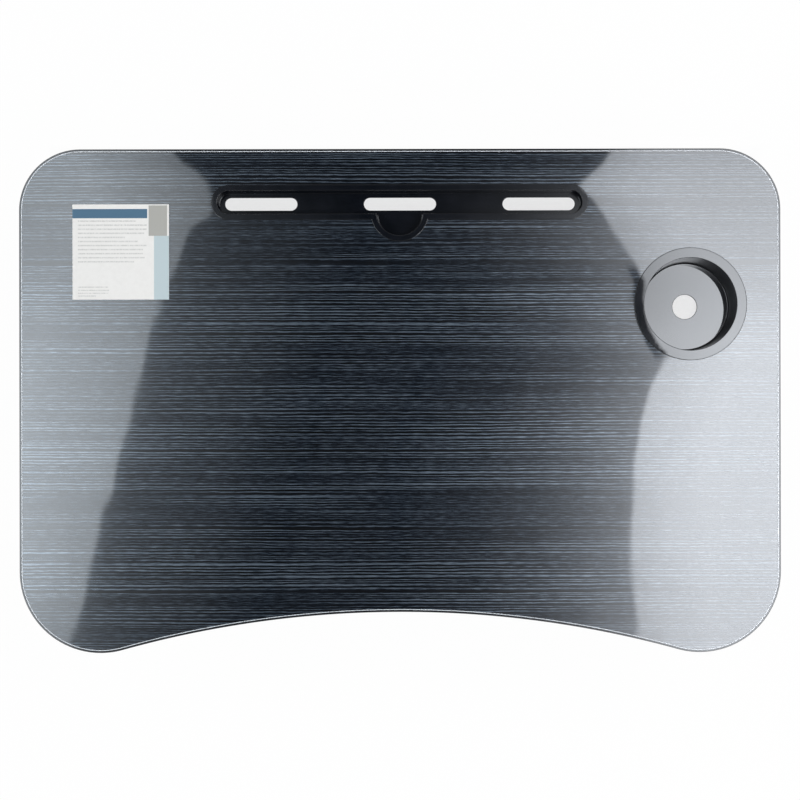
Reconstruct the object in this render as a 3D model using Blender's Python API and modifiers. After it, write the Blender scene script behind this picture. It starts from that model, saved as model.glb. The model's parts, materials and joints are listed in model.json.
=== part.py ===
"""A folding laptop table: a wood-grained board with a slot tray and a cup holder, on two
bent steel legs that fold flat under it.

Metres, +Z up. +X runs along the table's length and the rear edge is at +Y. The origin is on
the floor, under the middle of the table, which stands with both legs open."""

import math

import bmesh
import bpy

# Values shared by all pieces: the gap between pieces that touch, and how far a cut runs on
GAP = 0.0003
OVERRUN = 0.002
WELD_DISTANCE = 0.00001
SMOOTH_ANGLE = math.radians(50)
PLATE_CORNER_STEPS = 3

# The table as a whole. Its height comes from the longest legs that fold under the board.
BOARD_LENGTH = 0.600
BOARD_DEPTH = 0.397
FOLDED_LEGS_GAP = 0.0268

# The board's outline: two round rear corners, two round front lobes and an arch between them
REAR_CORNER_RADIUS = 0.048
LOBE_RADIUS = 0.064
ARCH_DEPTH = 0.032
CORNER_STEPS = 8
LOBE_STEPS = 8
LOBE_END_STEPS = 2
ARCH_STEPS = 14

# The board's layers
LAMINATE_THICKNESS = 0.0008
CORE_THICKNESS = 0.010
BACKING_THICKNESS = 0.0006
BAND_THICKNESS = 0.0017
BAND_ROUNDING = 0.0007
BAND_ROUNDED_ANGLE = math.radians(60)
BAND_SEGMENTS = 2

# The slot tray
TRAY_LENGTH = 0.297
TRAY_WIDTH = 0.0274
TRAY_FROM_REAR = 0.042
TRAY_RIM_WIDTH = 0.0045
TRAY_RIM_HEIGHT = 0.0010
TRAY_RIM_ROUNDING = 0.0004
TRAY_WALL = 0.0015
TRAY_DEPTH = 0.0115
TRAY_DRAFT = 0.0007
TRAY_END_STEPS = 8
RECESS_RADIUS = 0.0229
RECESS_FROM_TRAY = 0.008
RECESS_STEPS = 10
SLOT_COUNT = 3
SLOT_BRIDGE = 0.053
SLOT_END_LAND = 0.0045
SLOT_SIDE_LAND = 0.0033
SLOT_END_STEPS = 4

# The cup holder
CUP_FROM_RIGHT = 0.071
CUP_FROM_REAR = 0.1226
CUP_FLANGE_WIDTH = 0.00795
CUP_FLANGE_HEIGHT = 0.0010
CUP_FLANGE_ROUNDING = 0.0004
CUP_BORE_RADIUS = 0.0365
CUP_DEPTH = 0.032
CUP_DRAFT = 0.0012
CUP_WALL = 0.0018
CUP_FLOOR_ROUNDING = 0.0012
CUP_HOLE_RADIUS = 0.0098
CUP_STEPS = 32

# The label
LABEL_LENGTH = 0.076
LABEL_DEPTH = 0.075
LABEL_THICKNESS = 0.0002
LABEL_CORNER_RADIUS = 0.0015
LABEL_FROM_LEFT = 0.0802
LABEL_FROM_REAR = 0.081

# The legs
TUBE_RADIUS = 0.009
TUBE_WALL = 0.0012
TUBE_BEVEL_RESOLUTION = 3
HINGE_FROM_END = 0.032
HINGE_FROM_EDGE = 0.0585
LEG_SPLAY = math.radians(4.9)
LEG_CORNER_RADIUS = 0.040
LEG_CORNER_STEPS = 8
CRANK_RISE = 0.016
CRANK_TOP_LENGTH = 0.032
CRANK_STEPS = 6

# The feet
FOOT_WALL = 0.002
FOOT_LENGTH = 0.034
FOOT_MARGIN = 0.003
FOOT_FLAT_DEPTH = 0.0010
FOOT_ROUNDING = 0.0010
FOOT_STEPS = 16

# The hinges: pins, washers and knuckles
PIN_RADIUS = 0.003
PIN_CLEARANCE = 0.0004
PIN_HEAD_RADIUS = 0.0055
PIN_HEAD_HEIGHT = 0.0022
PIN_DOME_SHARE = 0.6
PIN_STEPS = 12
PIN_HOLE_STEPS = 16
WASHER_RADIUS = 0.007
WASHER_THICKNESS = 0.0010
WASHER_STEPS = 12
EYE_THICKNESS = 0.010
EYE_STEPS = 10
COLLAR_HEIGHT = 0.003
PLUG_LENGTH = 0.020
PLUG_CHAMFER = 0.0012
KNUCKLE_STEPS = 16

# The hinge brackets
BRACKET_THICKNESS = 0.002
BRACKET_LENGTH = 0.046
BRACKET_WIDTH = 0.046
BRACKET_CORNER_RADIUS = 0.006
EYE_HEADROOM = 0.004
CHEEK_MARGIN = 0.0015
CHEEK_STEPS = 8
BRACKET_SCREW_FROM_END = 0.008

# The screws
SCREW_RADIUS = 0.00175
SCREW_LENGTH = 0.0095
SCREW_TIP_LENGTH = 0.0025
SCREW_HEAD_RADIUS = 0.0037
SCREW_HEAD_HEIGHT = 0.0024
SCREW_HEAD_EDGE = 0.0009
SCREW_CROWN_SHARE = 0.6
SCREW_CLEARANCE = 0.0005
SCREW_HOLE_STEPS = 8
SCREW_STEPS = 8

# The clips that hold the folded legs
CLIP_LENGTH = 0.034
CLIP_JAW_WIDTH = 0.016
CLIP_THICKNESS = 0.0024
CLIP_SIDE_CLEARANCE = 0.0012
CLIP_GRIP_DEPTH = 0.004
CLIP_LEAD_IN = 0.0012
CLIP_SCREW_FROM_END = 0.0055

# Colours (linear), roughness and metallic value of each finish
FINISHES = {
    "dark_wood_grain": ((0.022, 0.029, 0.038), 0.22, 0.0),
    "fibreboard": ((0.350, 0.230, 0.130), 0.80, 0.0),
    "black_backing": ((0.020, 0.021, 0.023), 0.55, 0.0),
    "black_edge_band": ((0.014, 0.016, 0.019), 0.30, 0.0),
    "black_moulding": ((0.010, 0.012, 0.015), 0.25, 0.0),
    "white_paper": ((0.760, 0.760, 0.740), 0.60, 0.0),
    "black_painted_steel": ((0.015, 0.016, 0.018), 0.35, 0.0),
    "zinc_steel": ((0.560, 0.570, 0.580), 0.35, 1.0),
    "white_nylon": ((0.620, 0.610, 0.570), 0.45, 0.0),
    "black_nylon": ((0.018, 0.018, 0.020), 0.50, 0.0),
    "black_rubber": ((0.012, 0.012, 0.013), 0.75, 0.0),
}

# The legs' length and the heights, from the floor up
HINGE_X = BOARD_LENGTH / 2 - HINGE_FROM_END
HINGE_Y = BOARD_DEPTH / 2 - HINGE_FROM_EDGE
FOOT_RADIUS = TUBE_RADIUS + FOOT_WALL
LEG_REACH = HINGE_X - FOOT_RADIUS - FOLDED_LEGS_GAP / 2
PIN_Z = FOOT_RADIUS - FOOT_FLAT_DEPTH + LEG_REACH * math.cos(LEG_SPLAY)
EYE_RADIUS = TUBE_RADIUS
PIN_BELOW_PLATE = EYE_RADIUS + EYE_HEADROOM
PLATE_LOW = PIN_Z + PIN_BELOW_PLATE
PLATE_HIGH = PLATE_LOW + BRACKET_THICKNESS
BOARD_LOW = PLATE_HIGH + GAP
BACKING_HIGH = BOARD_LOW + BACKING_THICKNESS
CORE_LOW = BACKING_HIGH + GAP
CORE_HIGH = CORE_LOW + CORE_THICKNESS
TABLE_HEIGHT = CORE_HIGH + GAP + LAMINATE_THICKNESS
BOARD_THICKNESS = TABLE_HEIGHT - BOARD_LOW

# Places of the inserts and the label
TRAY_Y = BOARD_DEPTH / 2 - TRAY_FROM_REAR
TRAY_RIM_HIGH = TABLE_HEIGHT + GAP + TRAY_RIM_HEIGHT
TRAY_FLOOR = TABLE_HEIGHT - TRAY_DEPTH
TRAY_FLOOR_INSET = TRAY_RIM_WIDTH + TRAY_DRAFT
SLOT_WIDTH = TRAY_WIDTH - 2 * (TRAY_FLOOR_INSET + SLOT_SIDE_LAND)
SLOT_ROW_LENGTH = TRAY_LENGTH - 2 * (TRAY_FLOOR_INSET + SLOT_END_LAND)
SLOT_LENGTH = (SLOT_ROW_LENGTH - (SLOT_COUNT - 1) * SLOT_BRIDGE) / SLOT_COUNT
SLOT_PITCH = SLOT_LENGTH + SLOT_BRIDGE
CUP_X = BOARD_LENGTH / 2 - CUP_FROM_RIGHT
CUP_Y = BOARD_DEPTH / 2 - CUP_FROM_REAR
CUP_FLANGE_RADIUS = CUP_BORE_RADIUS + CUP_FLANGE_WIDTH
CUP_CUTOUT_RADIUS = (CUP_BORE_RADIUS + CUP_WALL + GAP) / math.cos(math.pi / CUP_STEPS)
LABEL_X = LABEL_FROM_LEFT - BOARD_LENGTH / 2
LABEL_Y = BOARD_DEPTH / 2 - LABEL_FROM_REAR

# Sizes of the hinge that follow from what it holds
TUBE_SIDES = 4 + 2 * TUBE_BEVEL_RESOLUTION
CHEEK_RADIUS = EYE_RADIUS + CHEEK_MARGIN
PIN_HOLE_RADIUS = PIN_RADIUS + PIN_CLEARANCE
WASHER_Y = EYE_THICKNESS / 2 + GAP + WASHER_THICKNESS / 2
CHEEK_INNER_Y = WASHER_Y + WASHER_THICKNESS / 2 + GAP
CHEEK_OUTER_Y = CHEEK_INNER_Y + BRACKET_THICKNESS
COLLAR_TOP = CHEEK_RADIUS + 2 * GAP
TUBE_START = COLLAR_TOP + COLLAR_HEIGHT + GAP
PLUG_RADIUS = (TUBE_RADIUS - TUBE_WALL) * math.cos(math.pi / TUBE_SIDES) - GAP
STOP_X = EYE_RADIUS / math.cos(LEG_SPLAY) + CHEEK_RADIUS * math.tan(LEG_SPLAY) + GAP
FOOT_BORE_RADIUS = (TUBE_RADIUS + GAP) / math.cos(math.pi / FOOT_STEPS)
FOOT_Y = HINGE_Y - LEG_CORNER_RADIUS - FOOT_MARGIN - FOOT_LENGTH / 2
CRANK_OUTER_Y = FOOT_Y - FOOT_LENGTH / 2 - FOOT_MARGIN
CRANK_INNER_Y = CRANK_TOP_LENGTH / 2

# Where the screws and the clips go
SCREW_HOLE_RADIUS = SCREW_RADIUS + SCREW_CLEARANCE
BRACKET_SCREW_X = BRACKET_LENGTH / 2 - BRACKET_SCREW_FROM_END
BRACKET_SCREW_Y = (CHEEK_OUTER_Y + BRACKET_WIDTH / 2) / 2
CLIP_X = HINGE_X - LEG_REACH + CRANK_RISE
CLIP_SCREW_Y = CLIP_LENGTH / 2 - CLIP_SCREW_FROM_END
CLIP_INNER_X = TUBE_RADIUS + CLIP_SIDE_CLEARANCE
SIDES = {"left": -1, "right": 1}
ROWS = {"front": -1, "rear": 1}


def remove_old_objects():
    for old in list(bpy.data.objects):
        bpy.data.objects.remove(old, do_unlink=True)


def new_collection(name):
    collection = bpy.data.collections.new(name)
    bpy.context.scene.collection.children.link(collection)
    return collection


def new_material(name, finish):
    colour, roughness, metallic = FINISHES[finish]
    material = bpy.data.materials.new(name)
    material.use_nodes = True
    shader = material.node_tree.nodes["Principled BSDF"]
    shader.inputs["Base Color"].default_value = (*colour, 1)
    shader.inputs["Roughness"].default_value = roughness
    shader.inputs["Metallic"].default_value = metallic
    material.diffuse_color = (*colour, 1)
    return material


def arc(centre, radius, start, end, steps):
    """Points round part of a circle, both ends among them, with the angles in degrees."""
    points = []
    for step in range(steps + 1):
        angle = math.radians(start + (end - start) * step / steps)
        points.append((centre[0] + radius * math.cos(angle), centre[1] + radius * math.sin(angle)))
    return points


def circle(centre, radius, steps):
    return arc(centre, radius, 0, 360, steps)[:-1]


def rounded_rectangle(length, width, radius, steps):
    x = length / 2 - radius
    y = width / 2 - radius
    outline = []
    for turn, (across, up) in enumerate(((1, 1), (-1, 1), (-1, -1), (1, -1))):
        outline += arc((across * x, up * y), radius, 90 * turn, 90 * turn + 90, steps)
    return outline


def stadium(centre, length, width, steps):
    """A slot's outline: two straight sides between half-round ends."""
    reach = (length - width) / 2
    right = arc((centre[0] + reach, centre[1]), width / 2, -90, 90, steps)
    left = arc((centre[0] - reach, centre[1]), width / 2, 90, 270, steps)
    return right + left


def board_outline(inset):
    """The board's edge, moved inwards by the inset. The arch is one arc that runs smoothly
    into both lobes."""
    lobe_x = BOARD_LENGTH / 2 - LOBE_RADIUS
    lobe_y = LOBE_RADIUS - BOARD_DEPTH / 2
    apex_y = ARCH_DEPTH - BOARD_DEPTH / 2
    drop = lobe_y - apex_y
    arch_radius = (lobe_x**2 + drop**2 - LOBE_RADIUS**2) / (2 * (LOBE_RADIUS - drop))
    arch_angle = math.degrees(math.atan2(lobe_x, drop + arch_radius))
    corner_x = BOARD_LENGTH / 2 - REAR_CORNER_RADIUS
    corner_y = BOARD_DEPTH / 2 - REAR_CORNER_RADIUS
    corner = REAR_CORNER_RADIUS - inset
    lobe = LOBE_RADIUS - inset
    arch_centre = (0, apex_y - arch_radius)
    arch = arc(arch_centre, arch_radius + inset, 90 + arch_angle, 90 - arch_angle, ARCH_STEPS)
    return (
        arc((corner_x, corner_y), corner, 0, 90, CORNER_STEPS)
        + arc((-corner_x, corner_y), corner, 90, 180, CORNER_STEPS)
        + arc((-lobe_x, lobe_y), lobe, 180, 270, LOBE_STEPS)[:-1]
        + arc((-lobe_x, lobe_y), lobe, 270, 270 + arch_angle, LOBE_END_STEPS)
        + arch[1:-1]
        + arc((lobe_x, lobe_y), lobe, 270 - arch_angle, 270, LOBE_END_STEPS)[:-1]
        + arc((lobe_x, lobe_y), lobe, 270, 360, LOBE_STEPS)
    )


def tray_outline(inset):
    """The slot tray's edge, moved inwards by the inset: a slot shape with the finger recess
    bulging out of its front side."""
    half_width = TRAY_WIDTH / 2 - inset
    reach = (TRAY_LENGTH - TRAY_WIDTH) / 2
    radius = RECESS_RADIUS - inset
    rise = RECESS_FROM_TRAY - half_width
    bite = math.degrees(math.asin(rise / radius))
    return (
        arc((reach, TRAY_Y), half_width, -90, 90, TRAY_END_STEPS)
        + arc((-reach, TRAY_Y), half_width, 90, 270, TRAY_END_STEPS)
        + arc((0, TRAY_Y - RECESS_FROM_TRAY), radius, 180 - bite, 360 + bite, RECESS_STEPS)
    )


def weld(mesh):
    shape = bmesh.new()
    shape.from_mesh(mesh)
    bmesh.ops.remove_doubles(shape, verts=shape.verts, dist=WELD_DISTANCE)
    shape.to_mesh(mesh)
    shape.free()


def baked(shape):
    """The evaluated mesh of an object, in world space, with the object removed."""
    bpy.context.view_layer.update()
    depsgraph = bpy.context.evaluated_depsgraph_get()
    mesh = bpy.data.meshes.new_from_object(shape.evaluated_get(depsgraph))
    mesh.transform(shape.matrix_world)
    bpy.data.objects.remove(shape, do_unlink=True)
    return mesh


def plate_mesh(outlines, thickness):
    """A flat sheet centred on Z = 0. The first outline is its edge and the rest are holes."""
    curve = bpy.data.curves.new("outline", "CURVE")
    curve.dimensions = "2D"
    curve.fill_mode = "BOTH"
    curve.extrude = thickness / 2
    for outline in outlines:
        spline = curve.splines.new("POLY")
        spline.points.add(len(outline) - 1)
        for point, (x, y) in zip(spline.points, outline):
            point.co = (x, y, 0, 1)
        spline.use_cyclic_u = True
    mesh = baked(linked("outline", curve))
    weld(mesh)
    return mesh


def turned_mesh(profile, steps, ring=False):
    """A profile of (radius, height) points turned round Z. It runs from the top down the
    outer side. A ring's profile closes on itself, and any other ends on the axis."""
    mesh = bpy.data.meshes.new("profile")
    edges = [(i, i + 1) for i in range(len(profile) - 1)]
    if ring:
        edges.append((len(profile) - 1, 0))
    mesh.from_pydata([(radius, 0, height) for radius, height in profile], edges, [])
    shape = linked("turned", mesh)
    screw = shape.modifiers.new("turn", "SCREW")
    screw.steps = steps
    screw.render_steps = steps
    screw.use_merge_vertices = True
    screw.merge_threshold = WELD_DISTANCE
    return baked(shape)


def loft_mesh(sections):
    """A closed solid through outlines of equal length, each at its height, capped at both
    ends. The outlines run anticlockwise and the solid's outside comes first."""
    shape = bmesh.new()
    rings = []
    for outline, height in sections:
        rings.append([shape.verts.new((x, y, height)) for x, y in outline])
    for lower, upper in zip(rings, rings[1:]):
        for i, vertex in enumerate(lower):
            before = i - 1
            shape.faces.new((lower[before], vertex, upper[i], upper[before]))
    shape.faces.new(reversed(rings[0]))
    shape.faces.new(rings[-1])
    mesh = bpy.data.meshes.new("loft")
    shape.to_mesh(mesh)
    shape.free()
    return mesh


def box_mesh(low, high):
    """A block between two corners."""
    shape = bmesh.new()
    bmesh.ops.create_cube(shape, size=1)
    for vertex in shape.verts:
        for axis in range(3):
            middle = (low[axis] + high[axis]) / 2
            vertex.co[axis] = middle + vertex.co[axis] * (high[axis] - low[axis])
    mesh = bpy.data.meshes.new("block")
    shape.to_mesh(mesh)
    shape.free()
    return mesh


def linked(name, data):
    """A new object in the working collection, which is empty again when the model is done."""
    shape = bpy.data.objects.new(name, data)
    workshop.objects.link(shape)
    return shape


def as_tool(name, mesh, location=(0, 0, 0), rotation=(0, 0, 0)):
    tool = linked(name, mesh)
    tool.location = location
    tool.rotation_euler = rotation
    tool.hide_render = True
    tool.display_type = "WIRE"
    return tool


def combined(mesh, operation, tools):
    """The mesh after a Boolean with each tool in turn. The tools are used up."""
    shape = linked("shape", mesh)
    for tool in tools:
        modifier = shape.modifiers.new(tool.name, "BOOLEAN")
        modifier.operation = operation
        modifier.solver = "EXACT"
        modifier.object = tool
    result = baked(shape)
    for tool in tools:
        bpy.data.objects.remove(tool, do_unlink=True)
    return result


def place(name, mesh, finish, location=(0, 0, 0), rotation=(0, 0, 0), parent=None):
    """One named piece of the table, with its own material."""
    piece = bpy.data.objects.new(name, mesh)
    table.objects.link(piece)
    mesh.shade_smooth()
    mesh.set_sharp_from_angle(angle=SMOOTH_ANGLE)
    if not mesh.materials:
        mesh.materials.append(None)
    piece.material_slots[0].link = "OBJECT"
    piece.material_slots[0].material = new_material(name, finish)
    piece.location = location
    piece.rotation_euler = rotation
    piece.parent = parent
    return piece


def screw_places():
    """Where each screw goes into the board, by name, in the plane of the board."""
    places = {}
    for side, across in SIDES.items():
        for row, back in ROWS.items():
            corners = ((-1, -1), (1, -1), (-1, 1), (1, 1))
            for number, (dx, dy) in enumerate(corners, 1):
                x = across * HINGE_X + dx * BRACKET_SCREW_X
                y = back * HINGE_Y + dy * BRACKET_SCREW_Y
                places[f"{side}_{row}_bracket_screw_{number}"] = (x, y)
        for row, back in ROWS.items():
            places[f"{side}_clip_{row}_screw"] = (across * CLIP_X, back * CLIP_SCREW_Y)
    return places


def screw_seat(name):
    """The height of the face that a screw's head bears on."""
    return PLATE_LOW if "bracket" in name else PLATE_HIGH - CLIP_THICKNESS


def cup_cutout():
    return circle((CUP_X, CUP_Y), CUP_CUTOUT_RADIUS, CUP_STEPS)


def tray_cutout():
    return tray_outline(TRAY_RIM_WIDTH - TRAY_WALL - GAP)


def screw_holes():
    holes = []
    for centre in screw_places().values():
        holes.append(circle(centre, SCREW_HOLE_RADIUS, SCREW_HOLE_STEPS))
    return holes


def make_laminate():
    edge = board_outline(BAND_THICKNESS + GAP)
    mesh = plate_mesh([edge, tray_cutout(), cup_cutout()], LAMINATE_THICKNESS)
    middle = TABLE_HEIGHT - LAMINATE_THICKNESS / 2
    place("top_laminate", mesh, "dark_wood_grain", (0, 0, middle))


def make_core():
    """The core, with blind pilot holes in its underside that end a gap above the screws."""
    edge = board_outline(BAND_THICKNESS + GAP)
    mesh = plate_mesh([edge, tray_cutout(), cup_cutout()], CORE_THICKNESS)
    pilot_bits = []
    for name, (x, y) in screw_places().items():
        end = screw_seat(name) + SCREW_LENGTH
        length = end - CORE_LOW + OVERRUN
        bit = plate_mesh([circle((0, 0), SCREW_HOLE_RADIUS, SCREW_HOLE_STEPS)], length)
        height = end - length / 2 - (CORE_LOW + CORE_HIGH) / 2
        pilot_bits.append(as_tool(f"{name}_bit", bit, (x, y, height)))
    mesh = combined(mesh, "DIFFERENCE", pilot_bits)
    place("board_core", mesh, "fibreboard", (0, 0, (CORE_LOW + CORE_HIGH) / 2))


def make_backing():
    edge = board_outline(BAND_THICKNESS + GAP)
    mesh = plate_mesh([edge, tray_cutout(), cup_cutout(), *screw_holes()], BACKING_THICKNESS)
    place("backing_sheet", mesh, "black_backing", (0, 0, BOARD_LOW + BACKING_THICKNESS / 2))


def make_edge_band():
    mesh = plate_mesh([board_outline(0), board_outline(BAND_THICKNESS)], BOARD_THICKNESS)
    band = place("edge_band", mesh, "black_edge_band", (0, 0, BOARD_LOW + BOARD_THICKNESS / 2))
    rounding = band.modifiers.new("rounding", "BEVEL")
    rounding.width = BAND_ROUNDING
    rounding.segments = BAND_SEGMENTS
    rounding.limit_method = "ANGLE"
    rounding.angle_limit = BAND_ROUNDED_ANGLE


def make_slot_tray():
    """A trough that hangs in the board from its rim, with slots through its floor."""
    rim_low = TRAY_RIM_HIGH - TRAY_RIM_HEIGHT
    wall_inset = TRAY_RIM_WIDTH - TRAY_WALL
    rounded = TRAY_RIM_HIGH - TRAY_RIM_ROUNDING
    inner = TRAY_RIM_WIDTH
    mesh = loft_mesh(
        [
            (tray_outline(wall_inset + TRAY_DRAFT), TRAY_FLOOR - TRAY_WALL),
            (tray_outline(wall_inset), rim_low),
            (tray_outline(0), rim_low),
            (tray_outline(0), rounded),
            (tray_outline(TRAY_RIM_ROUNDING), TRAY_RIM_HIGH),
            (tray_outline(inner - TRAY_RIM_ROUNDING), TRAY_RIM_HIGH),
            (tray_outline(inner), rounded),
            (tray_outline(TRAY_FLOOR_INSET), TRAY_FLOOR),
        ]
    )
    slots = []
    for number in range(SLOT_COUNT):
        x = (number - (SLOT_COUNT - 1) / 2) * SLOT_PITCH
        outline = stadium((0, 0), SLOT_LENGTH, SLOT_WIDTH, SLOT_END_STEPS)
        punch = plate_mesh([outline], TRAY_WALL + 2 * OVERRUN)
        slots.append(as_tool(f"slot_{number + 1}", punch, (x, TRAY_Y, TRAY_FLOOR - TRAY_WALL / 2)))
    mesh = combined(mesh, "DIFFERENCE", slots)
    place("slot_tray", mesh, "black_moulding")


def make_cup_holder():
    """A drafted cup turned round its own axis, hung from its flange, with a hole in its floor."""
    flange_low = GAP
    flange_high = GAP + CUP_FLANGE_HEIGHT
    rounded = flange_high - CUP_FLANGE_ROUNDING
    floor_radius = CUP_BORE_RADIUS - CUP_DRAFT
    profile = [
        (CUP_FLANGE_RADIUS - CUP_FLANGE_ROUNDING, flange_high),
        (CUP_FLANGE_RADIUS, rounded),
        (CUP_FLANGE_RADIUS, flange_low),
        (CUP_BORE_RADIUS + CUP_WALL, flange_low),
        (floor_radius + CUP_WALL, CUP_FLOOR_ROUNDING - CUP_DEPTH - CUP_WALL),
        (floor_radius + CUP_WALL - CUP_FLOOR_ROUNDING, -CUP_DEPTH - CUP_WALL),
        (CUP_HOLE_RADIUS, -CUP_DEPTH - CUP_WALL),
        (CUP_HOLE_RADIUS, -CUP_DEPTH),
        (floor_radius - CUP_FLOOR_ROUNDING, -CUP_DEPTH),
        (floor_radius, CUP_FLOOR_ROUNDING - CUP_DEPTH),
        (CUP_BORE_RADIUS, rounded),
        (CUP_BORE_RADIUS + CUP_FLANGE_ROUNDING, flange_high),
    ]
    mesh = turned_mesh(profile, CUP_STEPS, ring=True)
    place("cup_holder", mesh, "black_moulding", (CUP_X, CUP_Y, TABLE_HEIGHT))


def make_label():
    outline = rounded_rectangle(LABEL_LENGTH, LABEL_DEPTH, LABEL_CORNER_RADIUS, PLATE_CORNER_STEPS)
    mesh = plate_mesh([outline], LABEL_THICKNESS)
    height = TABLE_HEIGHT + GAP + LABEL_THICKNESS / 2
    place("label", mesh, "white_paper", (LABEL_X, LABEL_Y, height))


def upright_plate(outlines, thickness):
    """A flat sheet stood up: its outlines are drawn in (x, z) and its thickness is along Y."""
    mesh = plate_mesh(outlines, thickness)
    shape = linked("upright", mesh)
    shape.rotation_euler.x = math.radians(90)
    return baked(shape)


def bracket_mesh():
    """A pressed hinge bracket round its pin's axis: a plate with ears, two cheeks that hang
    from it, and a wall between the cheeks that stops the open leg."""
    holes = []
    for dx in (-1, 1):
        for dy in (-1, 1):
            centre = (dx * BRACKET_SCREW_X, dy * BRACKET_SCREW_Y)
            holes.append(circle(centre, SCREW_HOLE_RADIUS, SCREW_HOLE_STEPS))
    edge = rounded_rectangle(
        BRACKET_LENGTH, BRACKET_WIDTH, BRACKET_CORNER_RADIUS, PLATE_CORNER_STEPS
    )
    plate_middle = PIN_BELOW_PLATE + BRACKET_THICKNESS / 2
    plate = as_tool("plate", plate_mesh([edge, *holes], BRACKET_THICKNESS), (0, 0, plate_middle))
    stop_outer = STOP_X + BRACKET_THICKNESS
    cheek_outline = [(stop_outer, plate_middle), (-CHEEK_RADIUS, plate_middle)]
    cheek_outline += arc((0, 0), CHEEK_RADIUS, 180, 270, CHEEK_STEPS)
    cheek_outline += [(stop_outer, -CHEEK_RADIUS)]
    pin_hole = circle((0, 0), PIN_HOLE_RADIUS, PIN_HOLE_STEPS)
    cheek_y = (CHEEK_INNER_Y + CHEEK_OUTER_Y) / 2
    cheeks = []
    for dy in (-1, 1):
        cheek = upright_plate([cheek_outline, pin_hole], BRACKET_THICKNESS)
        cheeks.append(as_tool("cheek", cheek, (0, dy * cheek_y, 0)))
    stop = box_mesh((STOP_X, -cheek_y, -CHEEK_RADIUS), (stop_outer, cheek_y, plate_middle))
    return combined(baked(plate), "UNION", [*cheeks, as_tool("stop", stop)])


def pin_mesh():
    """A hinge pin along Z with a domed head at each end."""
    seat = CHEEK_OUTER_Y + GAP
    end = seat + PIN_HEAD_HEIGHT
    shoulder = seat + PIN_HEAD_HEIGHT / 2
    upper = [
        (0, end),
        (PIN_HEAD_RADIUS * PIN_DOME_SHARE, end),
        (PIN_HEAD_RADIUS, shoulder),
        (PIN_HEAD_RADIUS, seat),
        (PIN_RADIUS, seat),
    ]
    lower = [(radius, -height) for radius, height in reversed(upper)]
    return turned_mesh(upper + lower, PIN_STEPS)


def washer_mesh():
    half = WASHER_THICKNESS / 2
    profile = [
        (WASHER_RADIUS, half),
        (WASHER_RADIUS, -half),
        (PIN_HOLE_RADIUS, -half),
        (PIN_HOLE_RADIUS, half),
    ]
    return turned_mesh(profile, WASHER_STEPS, ring=True)


def knuckle_mesh():
    """The eye that turns on the pin, with a collar that the tube butts on and a plug that
    fills the tube's end. The pin's axis is Y and the leg runs down from it."""
    collar_low = COLLAR_TOP + COLLAR_HEIGHT
    eye_outline = arc((0, 0), EYE_RADIUS, 0, 180, EYE_STEPS)
    eye_outline += [(-EYE_RADIUS, -COLLAR_TOP - COLLAR_HEIGHT / 2)]
    eye_outline += [(EYE_RADIUS, -COLLAR_TOP - COLLAR_HEIGHT / 2)]
    pin_hole = circle((0, 0), PIN_HOLE_RADIUS, PIN_HOLE_STEPS)
    eye = upright_plate([eye_outline, pin_hole], EYE_THICKNESS)
    plug_end = collar_low + PLUG_LENGTH
    profile = [
        (0, -COLLAR_TOP),
        (TUBE_RADIUS + GAP, -COLLAR_TOP),
        (TUBE_RADIUS + GAP, -collar_low),
        (PLUG_RADIUS, -collar_low),
        (PLUG_RADIUS, PLUG_CHAMFER - plug_end),
        (PLUG_RADIUS - PLUG_CHAMFER, -plug_end),
        (0, -plug_end),
    ]
    plug = as_tool("plug", turned_mesh(profile, KNUCKLE_STEPS))
    return combined(eye, "UNION", [plug])


def leg_route():
    """The tube's centre line as (y, z) from its rear end round to its front end, in the leg's
    own frame, where the hinge axis is Y and the leg runs straight down."""
    corner = (HINGE_Y - LEG_CORNER_RADIUS, LEG_CORNER_RADIUS - LEG_REACH)
    rear = [(HINGE_Y, -TUBE_START)]
    rear += arc(corner, LEG_CORNER_RADIUS, 0, -90, LEG_CORNER_STEPS)
    run = CRANK_OUTER_Y - CRANK_INNER_Y
    for step in range(CRANK_STEPS + 1):
        climb = (1 - math.cos(math.pi * step / CRANK_STEPS)) / 2
        rear.append((CRANK_OUTER_Y - run * step / CRANK_STEPS, CRANK_RISE * climb - LEG_REACH))
    return rear + [(-y, z) for y, z in reversed(rear)]


def leg_tube_mesh():
    """The bent tube as a hollow shell, open at both ends."""
    route = leg_route()
    curve = bpy.data.curves.new("leg", "CURVE")
    curve.dimensions = "3D"
    curve.bevel_depth = TUBE_RADIUS
    curve.bevel_resolution = TUBE_BEVEL_RESOLUTION
    spline = curve.splines.new("POLY")
    spline.points.add(len(route) - 1)
    for point, (y, z) in zip(spline.points, route):
        point.co = (0, y, z, 1)
    shell = linked("leg", baked(linked("leg", curve)))
    wall = shell.modifiers.new("wall", "SOLIDIFY")
    wall.thickness = TUBE_WALL
    wall.offset = -1
    return baked(shell)


def foot_mesh():
    """A rubber sleeve along Y round the leg's bottom bar, cut flat where it stands on the
    floor with the leg open."""
    half = FOOT_LENGTH / 2
    profile = [
        (FOOT_RADIUS - FOOT_ROUNDING, half),
        (FOOT_RADIUS, half - FOOT_ROUNDING),
        (FOOT_RADIUS, FOOT_ROUNDING - half),
        (FOOT_RADIUS - FOOT_ROUNDING, -half),
        (FOOT_BORE_RADIUS, -half),
        (FOOT_BORE_RADIUS, half),
    ]
    sleeve = linked("sleeve", turned_mesh(profile, FOOT_STEPS, ring=True))
    sleeve.rotation_euler.x = math.radians(90)
    floor = FOOT_FLAT_DEPTH - FOOT_RADIUS
    block = box_mesh(
        (-FOOT_RADIUS, -FOOT_LENGTH, floor - FOOT_RADIUS), (FOOT_RADIUS, FOOT_LENGTH, floor)
    )
    cutter = as_tool("floor", block, rotation=(0, LEG_SPLAY, 0))
    return combined(baked(sleeve), "DIFFERENCE", [cutter])


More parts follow.
